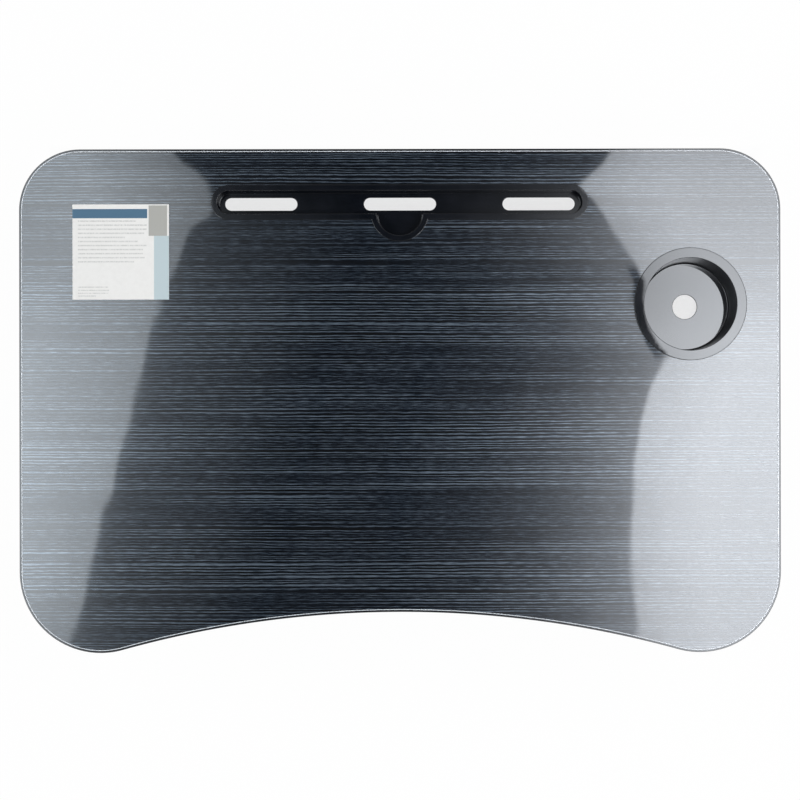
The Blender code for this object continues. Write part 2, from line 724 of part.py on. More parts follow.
def clip_mesh():
    """A leg clip under the board: a screwed base and two jaws, drawn round the middle of the
    tube that it takes. Its jaws lean open at the tips to guide the tube in."""
    base_high = PLATE_HIGH - PIN_Z
    base_low = base_high - CLIP_THICKNESS
    outer = CLIP_INNER_X + CLIP_THICKNESS
    right = [
        (outer, base_high),
        (outer, -CLIP_GRIP_DEPTH),
        (CLIP_INNER_X + CLIP_LEAD_IN, -CLIP_GRIP_DEPTH),
        (CLIP_INNER_X, CLIP_LEAD_IN - CLIP_GRIP_DEPTH),
        (CLIP_INNER_X, base_low),
    ]
    section = right + [(-x, z) for x, z in reversed(right)]
    jaws = upright_plate([section], CLIP_JAW_WIDTH)
    holes = []
    for dy in (-1, 1):
        holes.append(circle((0, dy * CLIP_SCREW_Y), SCREW_HOLE_RADIUS, SCREW_HOLE_STEPS))
    edge = rounded_rectangle(
        2 * CLIP_INNER_X, CLIP_LENGTH, BRACKET_CORNER_RADIUS, PLATE_CORNER_STEPS
    )
    base = plate_mesh([edge, *holes], CLIP_THICKNESS)
    return combined(jaws, "UNION", [as_tool("base", base, (0, 0, (base_low + base_high) / 2))])


def screw_mesh():
    """A pan-head screw that points up. The face that its head bears on is at Z = 0."""
    profile = [
        (0, SCREW_LENGTH),
        (SCREW_RADIUS, SCREW_LENGTH - SCREW_TIP_LENGTH),
        (SCREW_RADIUS, 0),
        (SCREW_HEAD_RADIUS, 0),
        (SCREW_HEAD_RADIUS, -SCREW_HEAD_EDGE),
        (SCREW_HEAD_RADIUS * SCREW_CROWN_SHARE, -SCREW_HEAD_HEIGHT),
        (0, -SCREW_HEAD_HEIGHT),
    ]
    return turned_mesh(profile, SCREW_STEPS)


def make_hinges():
    """Four brackets with their pins and washers, one at each end of each leg's axis."""
    bracket = bracket_mesh()
    pin = pin_mesh()
    washer = washer_mesh()
    along_y = (math.radians(90), 0, 0)
    for side, across in SIDES.items():
        turn = 0 if across > 0 else math.pi
        for row, back in ROWS.items():
            hinge = f"{side}_{row}"
            x = across * HINGE_X
            y = back * HINGE_Y
            place(f"{hinge}_bracket", bracket, "black_painted_steel", (x, y, PIN_Z), (0, 0, turn))
            place(f"{hinge}_pin", pin, "zinc_steel", (x, y, PIN_Z), along_y)
            for ring, outwards in (("inner", -back), ("outer", back)):
                centre = (x, y + outwards * WASHER_Y, PIN_Z)
                place(f"{hinge}_{ring}_washer", washer, "white_nylon", centre, along_y)


def make_legs():
    """Each leg hangs from an empty on its hinge axis, which leans it out to its open stop."""
    tube = leg_tube_mesh()
    knuckle = knuckle_mesh()
    foot = foot_mesh()
    for side, across in SIDES.items():
        axis = bpy.data.objects.new(f"{side}_leg_axis", None)
        table.objects.link(axis)
        axis.location = (across * HINGE_X, 0, PIN_Z)
        axis.rotation_euler = (0, -LEG_SPLAY, 0 if across > 0 else math.pi)
        place(f"{side}_leg_tube", tube, "black_painted_steel", parent=axis)
        for row, back in ROWS.items():
            y = across * back * HINGE_Y
            place(f"{side}_{row}_knuckle", knuckle, "black_nylon", (0, y, 0), parent=axis)
            foot_place = (0, across * back * FOOT_Y, -LEG_REACH)
            place(f"{side}_{row}_foot", foot, "black_rubber", foot_place, parent=axis)


def make_clips():
    clip = clip_mesh()
    for side, across in SIDES.items():
        place(f"{side}_leg_clip", clip, "black_nylon", (across * CLIP_X, 0, PIN_Z))


def make_screws():
    screw = screw_mesh()
    for name, (x, y) in screw_places().items():
        place(name, screw, "zinc_steel", (x, y, screw_seat(name) - GAP))


remove_old_objects()
table = new_collection("folding_laptop_table")
workshop = new_collection("cutters")
make_laminate()
make_core()
make_backing()
make_edge_band()
make_slot_tray()
make_cup_holder()
make_label()
make_hinges()
make_legs()
make_clips()
make_screws()
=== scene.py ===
"""The looks of the folding laptop table: fine surfaces, finishes, studio, lamps and camera."""

import json
import math

import bmesh
import bpy
from mathutils import Euler, Matrix, Vector


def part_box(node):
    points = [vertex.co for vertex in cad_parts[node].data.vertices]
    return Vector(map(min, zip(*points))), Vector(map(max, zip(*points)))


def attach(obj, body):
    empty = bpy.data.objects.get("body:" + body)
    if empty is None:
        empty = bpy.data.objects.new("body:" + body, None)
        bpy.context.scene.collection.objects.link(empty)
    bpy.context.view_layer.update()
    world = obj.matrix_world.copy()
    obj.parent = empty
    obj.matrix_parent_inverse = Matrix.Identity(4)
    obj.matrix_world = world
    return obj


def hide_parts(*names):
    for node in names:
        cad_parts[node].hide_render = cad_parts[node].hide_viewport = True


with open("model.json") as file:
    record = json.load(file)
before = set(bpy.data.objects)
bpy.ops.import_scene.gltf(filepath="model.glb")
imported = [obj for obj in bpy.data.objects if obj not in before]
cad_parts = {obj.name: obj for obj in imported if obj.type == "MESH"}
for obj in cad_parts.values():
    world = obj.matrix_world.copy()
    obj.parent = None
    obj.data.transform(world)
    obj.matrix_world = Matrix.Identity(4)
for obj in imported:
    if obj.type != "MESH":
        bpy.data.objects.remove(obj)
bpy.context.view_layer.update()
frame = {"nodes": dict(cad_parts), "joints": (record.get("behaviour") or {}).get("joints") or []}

MM = 0.001
GAP = 0.3 * MM
QUARTER_TURN = math.radians(90)
ALONG_Y = Matrix.Rotation(QUARTER_TURN, 4, "X")
SMOOTH_ANGLE = math.radians(40)
BEVEL_ANGLE = math.radians(35)
BEVEL_SEGMENTS = 2
FILLET_STEPS = 4
ROUND_STEPS = 48
WELD_DISTANCE = 0.01 * MM
# How far a flat face's own edge lies from the rounding next to it, so that it is shaded flat
FLAT_MARGIN = 0.03 * MM

# The board, from the frame
BAND_LOW, BAND_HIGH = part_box("edge_band")
TOP = BAND_HIGH.z
BOARD_LOW = BAND_LOW.z
BOARD_LENGTH = BAND_HIGH.x - BAND_LOW.x
BOARD_DEPTH = BAND_HIGH.y - BAND_LOW.y
LAMINATE_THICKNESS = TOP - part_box("top_laminate")[0].z
REAR_CORNER_RADIUS = 48 * MM
LOBE_RADIUS = 64 * MM
ARCH_DEPTH = 32 * MM
CORNER_STEPS = 24
LOBE_END_STEPS = 6
ARCH_STEPS = 60

# The edge band: a round outer lip, and a pale inner strip that is a painted highlight
BAND_THICKNESS = 1.7 * MM
BAND_ROUNDING = 0.35 * MM
BAND_BLACK_WIDTH = 1.65 * MM
BAND_PAINTED_HIGHLIGHT_WIDTH = 0.60 * MM
BAND_PAINTED_HIGHLIGHT_DEPTH = 0.5 * MM
BAND_PAINTED_HIGHLIGHT_ROUNDING = 0.15 * MM
PAINTED_HIGHLIGHT_GAP = 0.05 * MM

# The slot tray
TRAY_LOW, TRAY_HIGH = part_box("slot_tray")
TRAY_LENGTH = TRAY_HIGH.x - TRAY_LOW.x
TRAY_WIDTH = 27.4 * MM
TRAY_Y = TRAY_HIGH.y - TRAY_WIDTH / 2
TRAY_RIM_WIDTH = 4.5 * MM
TRAY_RIM_HEIGHT = 1.0 * MM
TRAY_RIM_ROUNDING = 0.3 * MM
TRAY_WALL = 1.5 * MM
TRAY_DRAFT = 0.7 * MM
TRAY_END_STEPS = 32
RECESS_RADIUS = 22.9 * MM
RECESS_FROM_TRAY = 8.0 * MM
RECESS_STEPS = 40
SLOT_COUNT = 3
SLOT_BRIDGE = 53 * MM
SLOT_END_LAND = 4.5 * MM
SLOT_SIDE_LAND = 3.5 * MM
SLOT_END_STEPS = 16
SLOT_ROUNDING = 0.35 * MM

# The cup holder
CUP_LOW, CUP_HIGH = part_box("cup_holder")
CUP_FLANGE_RADIUS = (CUP_HIGH.x - CUP_LOW.x) / 2
CUP_CENTRE = ((CUP_LOW.x + CUP_HIGH.x) / 2, (CUP_LOW.y + CUP_HIGH.y) / 2)
CUP_BORE_RADIUS = 36.5 * MM
CUP_DEPTH = 32 * MM
CUP_DRAFT = 1.2 * MM
CUP_WALL = 1.8 * MM
CUP_FLOOR_FILLET = 1.3 * MM
CUP_FLANGE_HEIGHT = 1.0 * MM
CUP_FLANGE_ROUNDING = 0.45 * MM
CUP_HOLE_RADIUS = 9.8 * MM
CUP_HOLE_ROUNDING = 0.4 * MM
CUP_STEPS = 128

# The legs, in their own frame: the hinge axis is Y and the leg runs straight down
LEG_SPLAY = math.radians(4.9)
JOINTS = {joint["child"]: joint for joint in frame["joints"]}
HINGE_X = JOINTS["right_leg"]["pos_m"][0]
HINGE_Z = JOINTS["right_leg"]["pos_m"][2]
BRACKET_LOW, BRACKET_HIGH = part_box("right_rear_bracket")
HINGE_Y = (BRACKET_LOW.y + BRACKET_HIGH.y) / 2
TUBE_RADIUS = 9 * MM
FOOT_RADIUS = 11 * MM
FOOT_FLAT_DEPTH = 1 * MM
FOOT_LENGTH = 34 * MM
FOOT_ROUNDING = 1.2 * MM
FOOT_STEPS = 64
LEG_REACH = (HINGE_Z - FOOT_RADIUS + FOOT_FLAT_DEPTH) / math.cos(LEG_SPLAY)
LEG_CORNER_RADIUS = 40 * MM
LEG_CORNER_STEPS = 24
FOOT_MARGIN = 3 * MM
FOOT_Y = HINGE_Y - LEG_CORNER_RADIUS - FOOT_MARGIN - FOOT_LENGTH / 2
CRANK_RISE = 16 * MM
CRANK_OUTER_Y = FOOT_Y - FOOT_LENGTH / 2 - FOOT_MARGIN
CRANK_INNER_Y = 16 * MM
CRANK_STEPS = 20
TUBE_BEVEL_RESOLUTION = 10

# The hinges
EYE_THICKNESS = 10 * MM
EYE_HOLE_RADIUS = 3.4 * MM
EYE_STEPS = 32
EYE_ROUNDING = 0.6 * MM
COLLAR_TOP = 11.1 * MM
COLLAR_HEIGHT = 3 * MM
COLLAR_ROUNDING = 0.6 * MM
TUBE_START = COLLAR_TOP + COLLAR_HEIGHT + GAP
CHEEK_INNER_Y = 6.6 * MM
CHEEK_OUTER_Y = 8.6 * MM
CHEEK_RADIUS = 10.5 * MM
STOP_INNER_X = TUBE_RADIUS / math.cos(LEG_SPLAY) + CHEEK_RADIUS * math.tan(LEG_SPLAY) + GAP
SHEET_THICKNESS = 2 * MM
SHEET_ROUNDING = 0.4 * MM
PLATE_LENGTH = 46 * MM
PLATE_CORNER_RADIUS = 6 * MM
PLATE_CORNER_STEPS = 8
PLATE_Z = BRACKET_HIGH.z - SHEET_THICKNESS / 2 - HINGE_Z
SCREW_HOLE_RADIUS = 2.25 * MM
SCREW_PLACE = (15.0 * MM, 15.8 * MM)
PIN_RADIUS = 3 * MM
PIN_HEAD_RADIUS = 5.5 * MM
PIN_HEAD_HEIGHT = 2.2 * MM
PIN_SIDE_HEIGHT = 0.35 * PIN_HEAD_HEIGHT
PIN_SIDE_ROUNDING = 0.5 * MM
PIN_DOME_RADIUS = 0.7 * PIN_HEAD_RADIUS
PIN_DOME_ROUNDING = 1.2 * MM
PIN_DIMPLE_RADIUS = 1.6 * MM
PIN_DIMPLE_DEPTH = 0.5 * MM
PIN_DIMPLE_ROUNDING = 0.3 * MM
WASHER_RADIUS = 7 * MM
WASHER_THICKNESS = 1.0 * MM
WASHER_ROUNDING = 0.2 * MM

# The screws
SCREW_HEAD_RADIUS = 3.7 * MM
SCREW_HEAD_HEIGHT = 2.4 * MM
SCREW_HEAD_EDGE = 0.9 * MM
SCREW_EDGE_ROUNDING = 0.4 * MM
SCREW_DOME_RADIUS = 0.65 * SCREW_HEAD_RADIUS
SCREW_DOME_ROUNDING = 1.0 * MM
SCREW_SHANK_RADIUS = 1.75 * MM
SCREW_SHANK_LENGTH = 9.5 * MM
SCREW_TIP_LENGTH = 2.5 * MM
CROSS_LENGTH = 3.6 * MM
CROSS_WIDTH = 0.8 * MM
CROSS_DEPTH = 1.3 * MM
CROSS_ROUNDING = 0.3 * CROSS_WIDTH
CROSS_CORNER_STEPS = 3
# Each screw's cross is turned this much further than the last one's
SCREW_TURN = math.radians(37)

# The clips that hold the folded legs
CLIP_INNER_X = 10.2 * MM
CLIP_THICKNESS = 2.4 * MM
CLIP_GRIP_DEPTH = 4 * MM
CLIP_LEAD_IN = 1.2 * MM
CLIP_JAW_WIDTH = 16 * MM
CLIP_LENGTH = 34 * MM
CLIP_SCREW_Y = 11.5 * MM
CLIP_ROUNDING = 0.5 * MM

# The top's grain, in millimetres, and its colours from the dark lines to the light ones
GRAIN_PITCH = 2.35
GRAIN_SWAY = 4.0
GRAIN_RIPPLE = 1.2
GRAIN_DRIFT = 2.2
GRAIN_DRIFT_LENGTH = 8.0
GRAIN_BAND_PITCH = 103.7
GRAIN_BAND_PEAK = 69.7
GRAIN_BAND_SWELL = 0.09
GRAIN_PATCH_RANGE = (0.36, 0.62)
GRAIN_STRENGTHS = (0.22, 1.0)
GRAIN_FIBRE_REACH = 0.26
GRAIN_CLOUD_REACH = 0.09
GRAIN_LINE_REACH = 0.42
GRAIN_MIDDLE_TONE = 0.46
GRAIN_TONES = (
    (0.00, (0.0003, 0.0005, 0.0010)),
    (0.35, (0.0020, 0.0036, 0.0066)),
    (0.60, (0.0185, 0.0250, 0.0345)),
    (1.00, (0.0900, 0.1100, 0.1320)),
)
GRAIN_RELIEF = 0.015 * MM
# Along the board, in millimetres from its middle, the lines' metallic sheen fades and their
# roughness grows
GRAIN_METAL_START = -0.6
GRAIN_METAL_FADE = (150, 240)
GRAIN_METAL_SHARES = (1.0, 0.15)
GRAIN_SOFT_FADE = (-240, -150)
GRAIN_ROUGHNESSES = (0.26, 0.35)
GRAIN_CLOUD_ROUGHNESS = 0.05
GRAIN_GLOSS_WEIGHTS = (1.0, 0.97)
GLOSS_WAVE_HEIGHT = 0.2 * MM

# The other finishes: where noise starts and ends to count, and a few sizes and swings
NOISE_RANGE = (0.3, 0.7)
RUBBER_TONES = ((0.35, (0.010, 0.010, 0.011)), (0.75, (0.020, 0.020, 0.020)))
NYLON_WEAR = 0.06
MOULDING_ROUGHNESS = 0.015
CUP_WALL_ROUGHNESS = 0.32

# A colour Mix node's sockets by number: its share and two colours, and its result
MIX_INPUTS = (0, 6, 7)
MIX_OUTPUT = 2

# The camera, straight above the board, a little to the right and to the front of its middle
PICTURE_WIDTH_PX = 800
PHOTO_SCALE = 0.7881 * MM
CAMERA_HEIGHT = 1.36
CAMERA_RIGHT = 28 * MM
CAMERA_FORWARD = 28 * MM
PICTURE_CENTRE_BACK = 0.55 * MM
CAMERA_TURN = math.radians(-0.1)
SENSOR_WIDTH_MM = 36

SIDES = {"left": -1, "right": 1}
ROWS = {"front": -1, "rear": 1}


def arc(centre, radius, start, end, steps):
    """Points round part of a circle, both ends among them, with the angles in degrees."""
    points = []
    for step in range(steps + 1):
        angle = math.radians(start + (end - start) * step / steps)
        points.append((centre[0] + radius * math.cos(angle), centre[1] + radius * math.sin(angle)))
    return points


def circle(centre, radius, steps):
    return arc(centre, radius, 0, 360, steps)[:-1]


def rounded_rectangle(length, width, radius, steps):
    x = length / 2 - radius
    y = width / 2 - radius
    outline = []
    for turn, (across, up) in enumerate(((1, 1), (-1, 1), (-1, -1), (1, -1))):
        outline += arc((across * x, up * y), radius, 90 * turn, 90 * turn + 90, steps)
    return outline


def stadium(centre, length, width, steps):
    reach = (length - width) / 2
    right = arc((centre[0] + reach, centre[1]), width / 2, -90, 90, steps)
    return right + arc((centre[0] - reach, centre[1]), width / 2, 90, 270, steps)


def filleted(corners, closed=True, steps=FILLET_STEPS):
    """A polygon's points with its corners rounded. Each corner is (x, y, radius)."""
    points = []
    last = len(corners) - 1
    for i, (x, y, radius) in enumerate(corners):
        if radius == 0 or (not closed and i in (0, last)):
            points.append((x, y))
            continue
        corner = Vector((x, y))
        before = (Vector(corners[i - 1][:2]) - corner).normalized()
        after = (Vector(corners[(i + 1) % len(corners)][:2]) - corner).normalized()
        half = before.angle(after) / 2
        centre = corner + (before + after).normalized() * radius / math.sin(half)
        first = corner + before * radius / math.tan(half) - centre
        turn = first.angle_signed(corner + after * radius / math.tan(half) - centre)
        for step in range(steps + 1):
            spoke = first.copy()
            spoke.rotate(Matrix.Rotation(-turn * step / steps, 2))
            points.append(tuple(centre + spoke))
    return points


def board_outline(inset):
    """The board's edge, moved inwards by the inset. The arch runs smoothly into both lobes."""
    lobe_x = BOARD_LENGTH / 2 - LOBE_RADIUS
    lobe_y = LOBE_RADIUS - BOARD_DEPTH / 2
    apex_y = ARCH_DEPTH - BOARD_DEPTH / 2
    drop = lobe_y - apex_y
    arch_radius = (lobe_x**2 + drop**2 - LOBE_RADIUS**2) / (2 * (LOBE_RADIUS - drop))
    arch_angle = math.degrees(math.atan2(lobe_x, drop + arch_radius))
    corner_x = BOARD_LENGTH / 2 - REAR_CORNER_RADIUS
    corner_y = BOARD_DEPTH / 2 - REAR_CORNER_RADIUS
    corner = REAR_CORNER_RADIUS - inset
    lobe = LOBE_RADIUS - inset
    arch_centre = (0, apex_y - arch_radius)
    arch = arc(arch_centre, arch_radius + inset, 90 + arch_angle, 90 - arch_angle, ARCH_STEPS)
    return (
        arc((corner_x, corner_y), corner, 0, 90, CORNER_STEPS)
        + arc((-corner_x, corner_y), corner, 90, 180, CORNER_STEPS)
        + arc((-lobe_x, lobe_y), lobe, 180, 270, CORNER_STEPS)[:-1]
        + arc((-lobe_x, lobe_y), lobe, 270, 270 + arch_angle, LOBE_END_STEPS)
        + arch[1:-1]
        + arc((lobe_x, lobe_y), lobe, 270 - arch_angle, 270, LOBE_END_STEPS)[:-1]
        + arc((lobe_x, lobe_y), lobe, 270, 360, CORNER_STEPS)
    )


def tray_outline(inset):
    """The tray's edge, moved inwards: a slot shape with the finger recess in its front side."""
    half_width = TRAY_WIDTH / 2 - inset
    reach = (TRAY_LENGTH - TRAY_WIDTH) / 2
    radius = RECESS_RADIUS - inset
    bite = math.degrees(math.asin((RECESS_FROM_TRAY - half_width) / radius))
    return (
        arc((reach, TRAY_Y), half_width, -90, 90, TRAY_END_STEPS)
        + arc((-reach, TRAY_Y), half_width, 90, 270, TRAY_END_STEPS)
        + arc((0, TRAY_Y - RECESS_FROM_TRAY), radius, 180 - bite, 360 + bite, RECESS_STEPS)
    )


def placed(name, data):
    """A new object in the scene."""
    made = bpy.data.objects.new(name, data)
    bpy.context.scene.collection.objects.link(made)
    return made


def mesh_of(shape, name="shape"):
    mesh = bpy.data.meshes.new(name)
    shape.to_mesh(mesh)
    shape.free()
    return mesh


def finished(shape):
    """The mesh of a bmesh, welded and with its faces pointing out."""
    bmesh.ops.remove_doubles(shape, verts=shape.verts, dist=WELD_DISTANCE)
    bmesh.ops.recalc_face_normals(shape, faces=shape.faces)
    return mesh_of(shape)


def swept_mesh(profile, outline, closed=True, capped=False, second=()):
    """A profile of (inset or radius, height) points carried round the outline that each first
    value gives. An open profile's ends are left open, capped or on the axis. The faces between two
    profile points that are marked in second take the second material."""
    shape = bmesh.new()
    rings = []
    for size, height in profile:
        rings.append([shape.verts.new((x, y, height)) for x, y in outline(size)])
    pairs = [(i, i + 1) for i in range(len(rings) - 1)]
    if closed:
        pairs.append((len(rings) - 1, 0))
    for a, b in pairs:
        lower, upper = rings[a], rings[b]
        for i, vertex in enumerate(lower):
            face = shape.faces.new((lower[i - 1], vertex, upper[i], upper[i - 1]))
            if second and second[a] and second[b]:
                face.material_index = 1
    if capped:
        shape.faces.new(rings[0])
        shape.faces.new(rings[-1])
    return finished(shape)


def turned_mesh(corners, closed=True, steps=ROUND_STEPS, centre=(0, 0)):
    """The fillets of (radius, height, fillet) corners, turned round the axis."""
    profile = filleted(corners, closed)
    return swept_mesh(profile, lambda radius: circle(centre, radius, steps), closed)


def baked(shape):
    """The evaluated mesh of an object, in world space, with the object removed."""
    bpy.context.view_layer.update()
    depsgraph = bpy.context.evaluated_depsgraph_get()
    mesh = bpy.data.meshes.new_from_object(shape.evaluated_get(depsgraph))
    mesh.transform(shape.matrix_world)
    bpy.data.objects.remove(shape, do_unlink=True)
    return mesh


def helper(mesh, location=(0, 0, 0), rotation=(0, 0, 0)):
    shape = placed("helper", mesh)
    shape.location = location
    shape.rotation_euler = rotation
    return shape


def add_line(curve, points):
    line = curve.splines.new("POLY")
    line.points.add(len(points) - 1)
    for point, place in zip(line.points, points):
        point.co = (*place, 1)
    return line


def curve_mesh(curve):
    shape = bmesh.new()
    shape.from_mesh(baked(helper(curve)))
    return finished(shape)


def plate_mesh(outlines, thickness, middle=0):
    """A flat sheet whose middle is at that height. The first outline is its edge and the rest are
    holes."""
    curve = bpy.data.curves.new("outline", "CURVE")
    curve.dimensions = "2D"
    curve.fill_mode = "BOTH"
    curve.extrude = thickness / 2
    for outline in outlines:
        add_line(curve, [(x, y, 0) for x, y in outline]).use_cyclic_u = True
    mesh = curve_mesh(curve)
    mesh.transform(Matrix.Translation((0, 0, middle)))
    return mesh


def upright_plate(outlines, thickness, y=0):
    """A flat sheet stood up: its outlines are drawn in (x, z) and its thickness is along Y."""
    return baked(helper(plate_mesh(outlines, thickness), (0, y, 0), (QUARTER_TURN, 0, 0)))


def box_mesh(low, high):
    shape = bmesh.new()
    bmesh.ops.create_cube(shape, size=1)
    for vertex in shape.verts:
        for axis in range(3):
            middle = (low[axis] + high[axis]) / 2
            vertex.co[axis] = middle + vertex.co[axis] * (high[axis] - low[axis])
    return finished(shape)


def combined(mesh, operation, tools):
    """The mesh after a Boolean with each tool mesh in turn."""
    shape = helper(mesh)
    cutters = [helper(tool) for tool in tools]
    for cutter in cutters:
        modifier = shape.modifiers.new("boolean", "BOOLEAN")
        modifier.operation = operation
        modifier.solver = "EXACT"
        modifier.object = cutter
    result = baked(shape)
    for cutter in cutters:
        bpy.data.objects.remove(cutter, do_unlink=True)
    return result


def softened(mesh, width):
    """The mesh with its sharp edges rounded."""
    shape = helper(mesh)
    rounding = shape.modifiers.new("rounding", "BEVEL")
    rounding.width = width
    rounding.segments = BEVEL_SEGMENTS
    rounding.limit_method = "ANGLE"
    rounding.angle_limit = BEVEL_ANGLE
    return baked(shape)


def piece(name, mesh, looks, body, nodes, place=Matrix.Identity(4)):
    """A named visible piece that rides on a body and stands for one or more CAD nodes."""
    mesh = mesh.copy()
    mesh.transform(place)
    shape = placed(name, mesh)
    mesh.shade_smooth()
    mesh.set_sharp_from_angle(angle=SMOOTH_ANGLE)
    for look in looks:
        mesh.materials.append(look.material)
    weighting = shape.modifiers.new("weighting", "WEIGHTED_NORMAL")
    weighting.keep_sharp = True
    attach(shape, body)
    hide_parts(*nodes)


class Nodes:
    """The node tree of a material or a world, and a short way to add nodes to it."""

    def __init__(self, owner, cleared=True):
        owner.use_nodes = True
        self.tree = owner.node_tree
        if cleared:
            self.tree.nodes.clear()

    def node(self, kind, inputs, output=0, **settings):
        """A new node's output. An input is a value, or another node's output."""
        made = self.tree.nodes.new(f"ShaderNode{kind}")
        for setting, value in settings.items():
            setattr(made, setting, value)
        for socket, value in inputs.items():
            if isinstance(value, bpy.types.NodeSocket):
                self.tree.links.new(value, made.inputs[socket])
            else:
                made.inputs[socket].default_value = value
        return made.outputs[output]

    def show(self, shader, output="OutputMaterial"):
        """Makes a shader the surface of the whole tree."""
        self.tree.links.new(shader, self.tree.nodes.new(f"ShaderNode{output}").inputs["Surface"])

    def maths(self, operation, *values):
        return self.node("Math", dict(enumerate(values)), operation=operation)

    def times(self, value, factor):
        return self.maths("MULTIPLY", value, factor)

    def axis(self, place, name):
        return self.node("SeparateXYZ", {0: place}, name)

    def position(self):
        """Where a point lies on the object, in millimetres."""
        place = self.node("TexCoord", {}, "Object")
        return self.node("VectorMath", {0: place, "Scale": 1 / MM}, operation="SCALE")

    def between(self, value, low, high, first=0.0, last=1.0):
        """The value's way from low to high, as a way from first to last, held at the ends."""
        inputs = {"Value": value, 1: low, 2: high, 3: first, 4: last}
        return self.node("MapRange", inputs, clamp=True)

    def inside(self, value, low, high):
        above = self.maths("GREATER_THAN", value, low)
        return self.times(above, self.maths("LESS_THAN", value, high))

    def ramp(self, value, stops):
        """A colour for the value, from (place, colour) stops."""
        made = self.tree.nodes.new("ShaderNodeValToRGB")
        points = made.color_ramp.elements
        while len(points) < len(stops):
            points.new(1.0)
        for point, (place, colour) in zip(points, stops):
            point.position = place
            point.color = (*colour, 1)
        self.tree.links.new(value, made.inputs[0])
        return made.outputs[0]

    def mixed(self, share, first, second):
        inputs = dict(zip(MIX_INPUTS, (share, first, second)))
        return self.node("Mix", inputs, MIX_OUTPUT, data_type="RGBA")


class Look(Nodes):
    """A material with its Principled shader, and procedural noise on the object."""

    def __init__(self, name, colour, roughness, **sockets):
        self.name = name
        self.material = bpy.data.materials.new(name)
        super().__init__(self.material, cleared=False)
        self.shader = self.tree.nodes["Principled BSDF"]
        sockets |= {"Base_Color": (*colour, 1), "Roughness": roughness}
        for socket, value in sockets.items():
            self.shader.inputs[socket.replace("_", " ")].default_value = value
        self.place = self.position()

    def noise_line(self, value, step):
        """Noise along one line, for a value counted in steps of so many millimetres."""
        inputs = {"W": self.maths("DIVIDE", value, step), "Scale": 1.0, "Detail": 1.0}
        return self.node("TexNoise", inputs, "Fac", noise_dimensions="1D")

    def stretched(self, steps, place=None):
        if not isinstance(steps, tuple):
            steps = (steps, steps, steps)
        inputs = {0: place or self.place, 1: [1 / step for step in steps]}
        return self.node("VectorMath", inputs, operation="MULTIPLY")

    def noise(self, steps, detail=2.0, roughness=0.5, place=None):
        """Noise in steps of so many millimetres, one for all axes or one for each."""
        inputs = {"Vector": self.stretched(steps, place), "Scale": 1.0}
        inputs |= {"Detail": detail, "Roughness": roughness}
        return self.node("TexNoise", inputs, "Fac")

    def swing(self, noise, low, high):
        """Noise as a number from low to high."""
        return self.between(noise, *NOISE_RANGE, low, high)

    def toned(self, noise, dark, light):
        """Noise as a colour from dark to light."""
        return self.ramp(noise, tuple(zip(NOISE_RANGE, (dark, light))))

    def shade(self, noise, dark, light):
        self.put(self.toned(noise, dark, light), "Base Color")

    def wear(self, noise, smooth, rough):
        self.put(self.swing(noise, smooth, rough), "Roughness")

    def bump(self, height, rise, socket="Normal"):
        """Raises the surface where the height is 1, by so many metres."""
        inputs = {"Height": height, "Distance": rise, "Strength": 1.0}
        self.put(self.node("Bump", inputs), socket)

    def put(self, output, socket):
        self.tree.links.new(output, self.shader.inputs[socket])


def grain_look():
    """Dark wood grain: fine wavy lines along the board, in bands of stronger and weaker contrast,
    under a clear gloss."""
    look = Look(
        "grain_laminate", (0.018, 0.025, 0.034), 0.2,
        Coat_Weight=1.0, Coat_Roughness=0.03, Coat_IOR=1.65, Specular_IOR_Level=0.05,
    )
    along = look.axis(look.place, "X")
    back = look.axis(look.place, "Y")
    sway = look.noise((280, 60, 60), detail=1.0)
    ripple = look.noise((26, 5, 5), detail=1.5)
    across = look.maths("MULTIPLY_ADD", sway, GRAIN_SWAY, back)
    across = look.maths("MULTIPLY_ADD", ripple, GRAIN_RIPPLE, across)
    drift = look.noise_line(across, GRAIN_DRIFT_LENGTH)
    turns = look.maths("DIVIDE", across, GRAIN_PITCH)
    turns = look.maths("MULTIPLY_ADD", drift, GRAIN_DRIFT, turns)
    line = look.maths("SINE", look.times(turns, 2 * math.pi))
    from_peak = look.maths("SUBTRACT", back, GRAIN_BAND_PEAK)
    band_turn = look.times(from_peak, 2 * math.pi / GRAIN_BAND_PITCH)
    patch = look.noise((200, 9, 9), detail=1.5)
    patch = look.maths("MULTIPLY_ADD", look.maths("COSINE", band_turn), GRAIN_BAND_SWELL, patch)
    strength = look.between(patch, *GRAIN_PATCH_RANGE, *GRAIN_STRENGTHS)
    waved = look.node("CombineXYZ", {"X": along, "Y": across})
    fibre = look.noise((9, 0.5, 1), roughness=0.6, place=waved)
    cloud = look.noise((160, 7, 7))
    ridge = look.times(line, strength)
    tone = look.maths("MULTIPLY_ADD", ridge, GRAIN_LINE_REACH, GRAIN_MIDDLE_TONE)
    tone = look.maths("ADD", tone, look.swing(fibre, -GRAIN_FIBRE_REACH, GRAIN_FIBRE_REACH))
    tone = look.maths("ADD", tone, look.swing(cloud, -GRAIN_CLOUD_REACH, GRAIN_CLOUD_REACH))
    look.put(look.ramp(tone, GRAIN_TONES), "Base Color")
    look.put(look.between(ridge, -1.0, 1.0, *GRAIN_GLOSS_WEIGHTS), "Coat Weight")
    metal = look.between(ridge, GRAIN_METAL_START, 1.0)
    sheen = look.between(along, *GRAIN_METAL_FADE, *GRAIN_METAL_SHARES)
    look.put(look.times(metal, sheen), "Metallic")
    soft = look.between(along, *GRAIN_SOFT_FADE, *GRAIN_ROUGHNESSES)
    soft = look.maths("ADD", soft, look.swing(cloud, 0.0, GRAIN_CLOUD_ROUGHNESS))
    look.put(soft, "Roughness")
    look.bump(tone, rise=GRAIN_RELIEF)
    look.bump(look.noise((80, 110, 80)), rise=GLOSS_WAVE_HEIGHT, socket="Coat Normal")
    return look


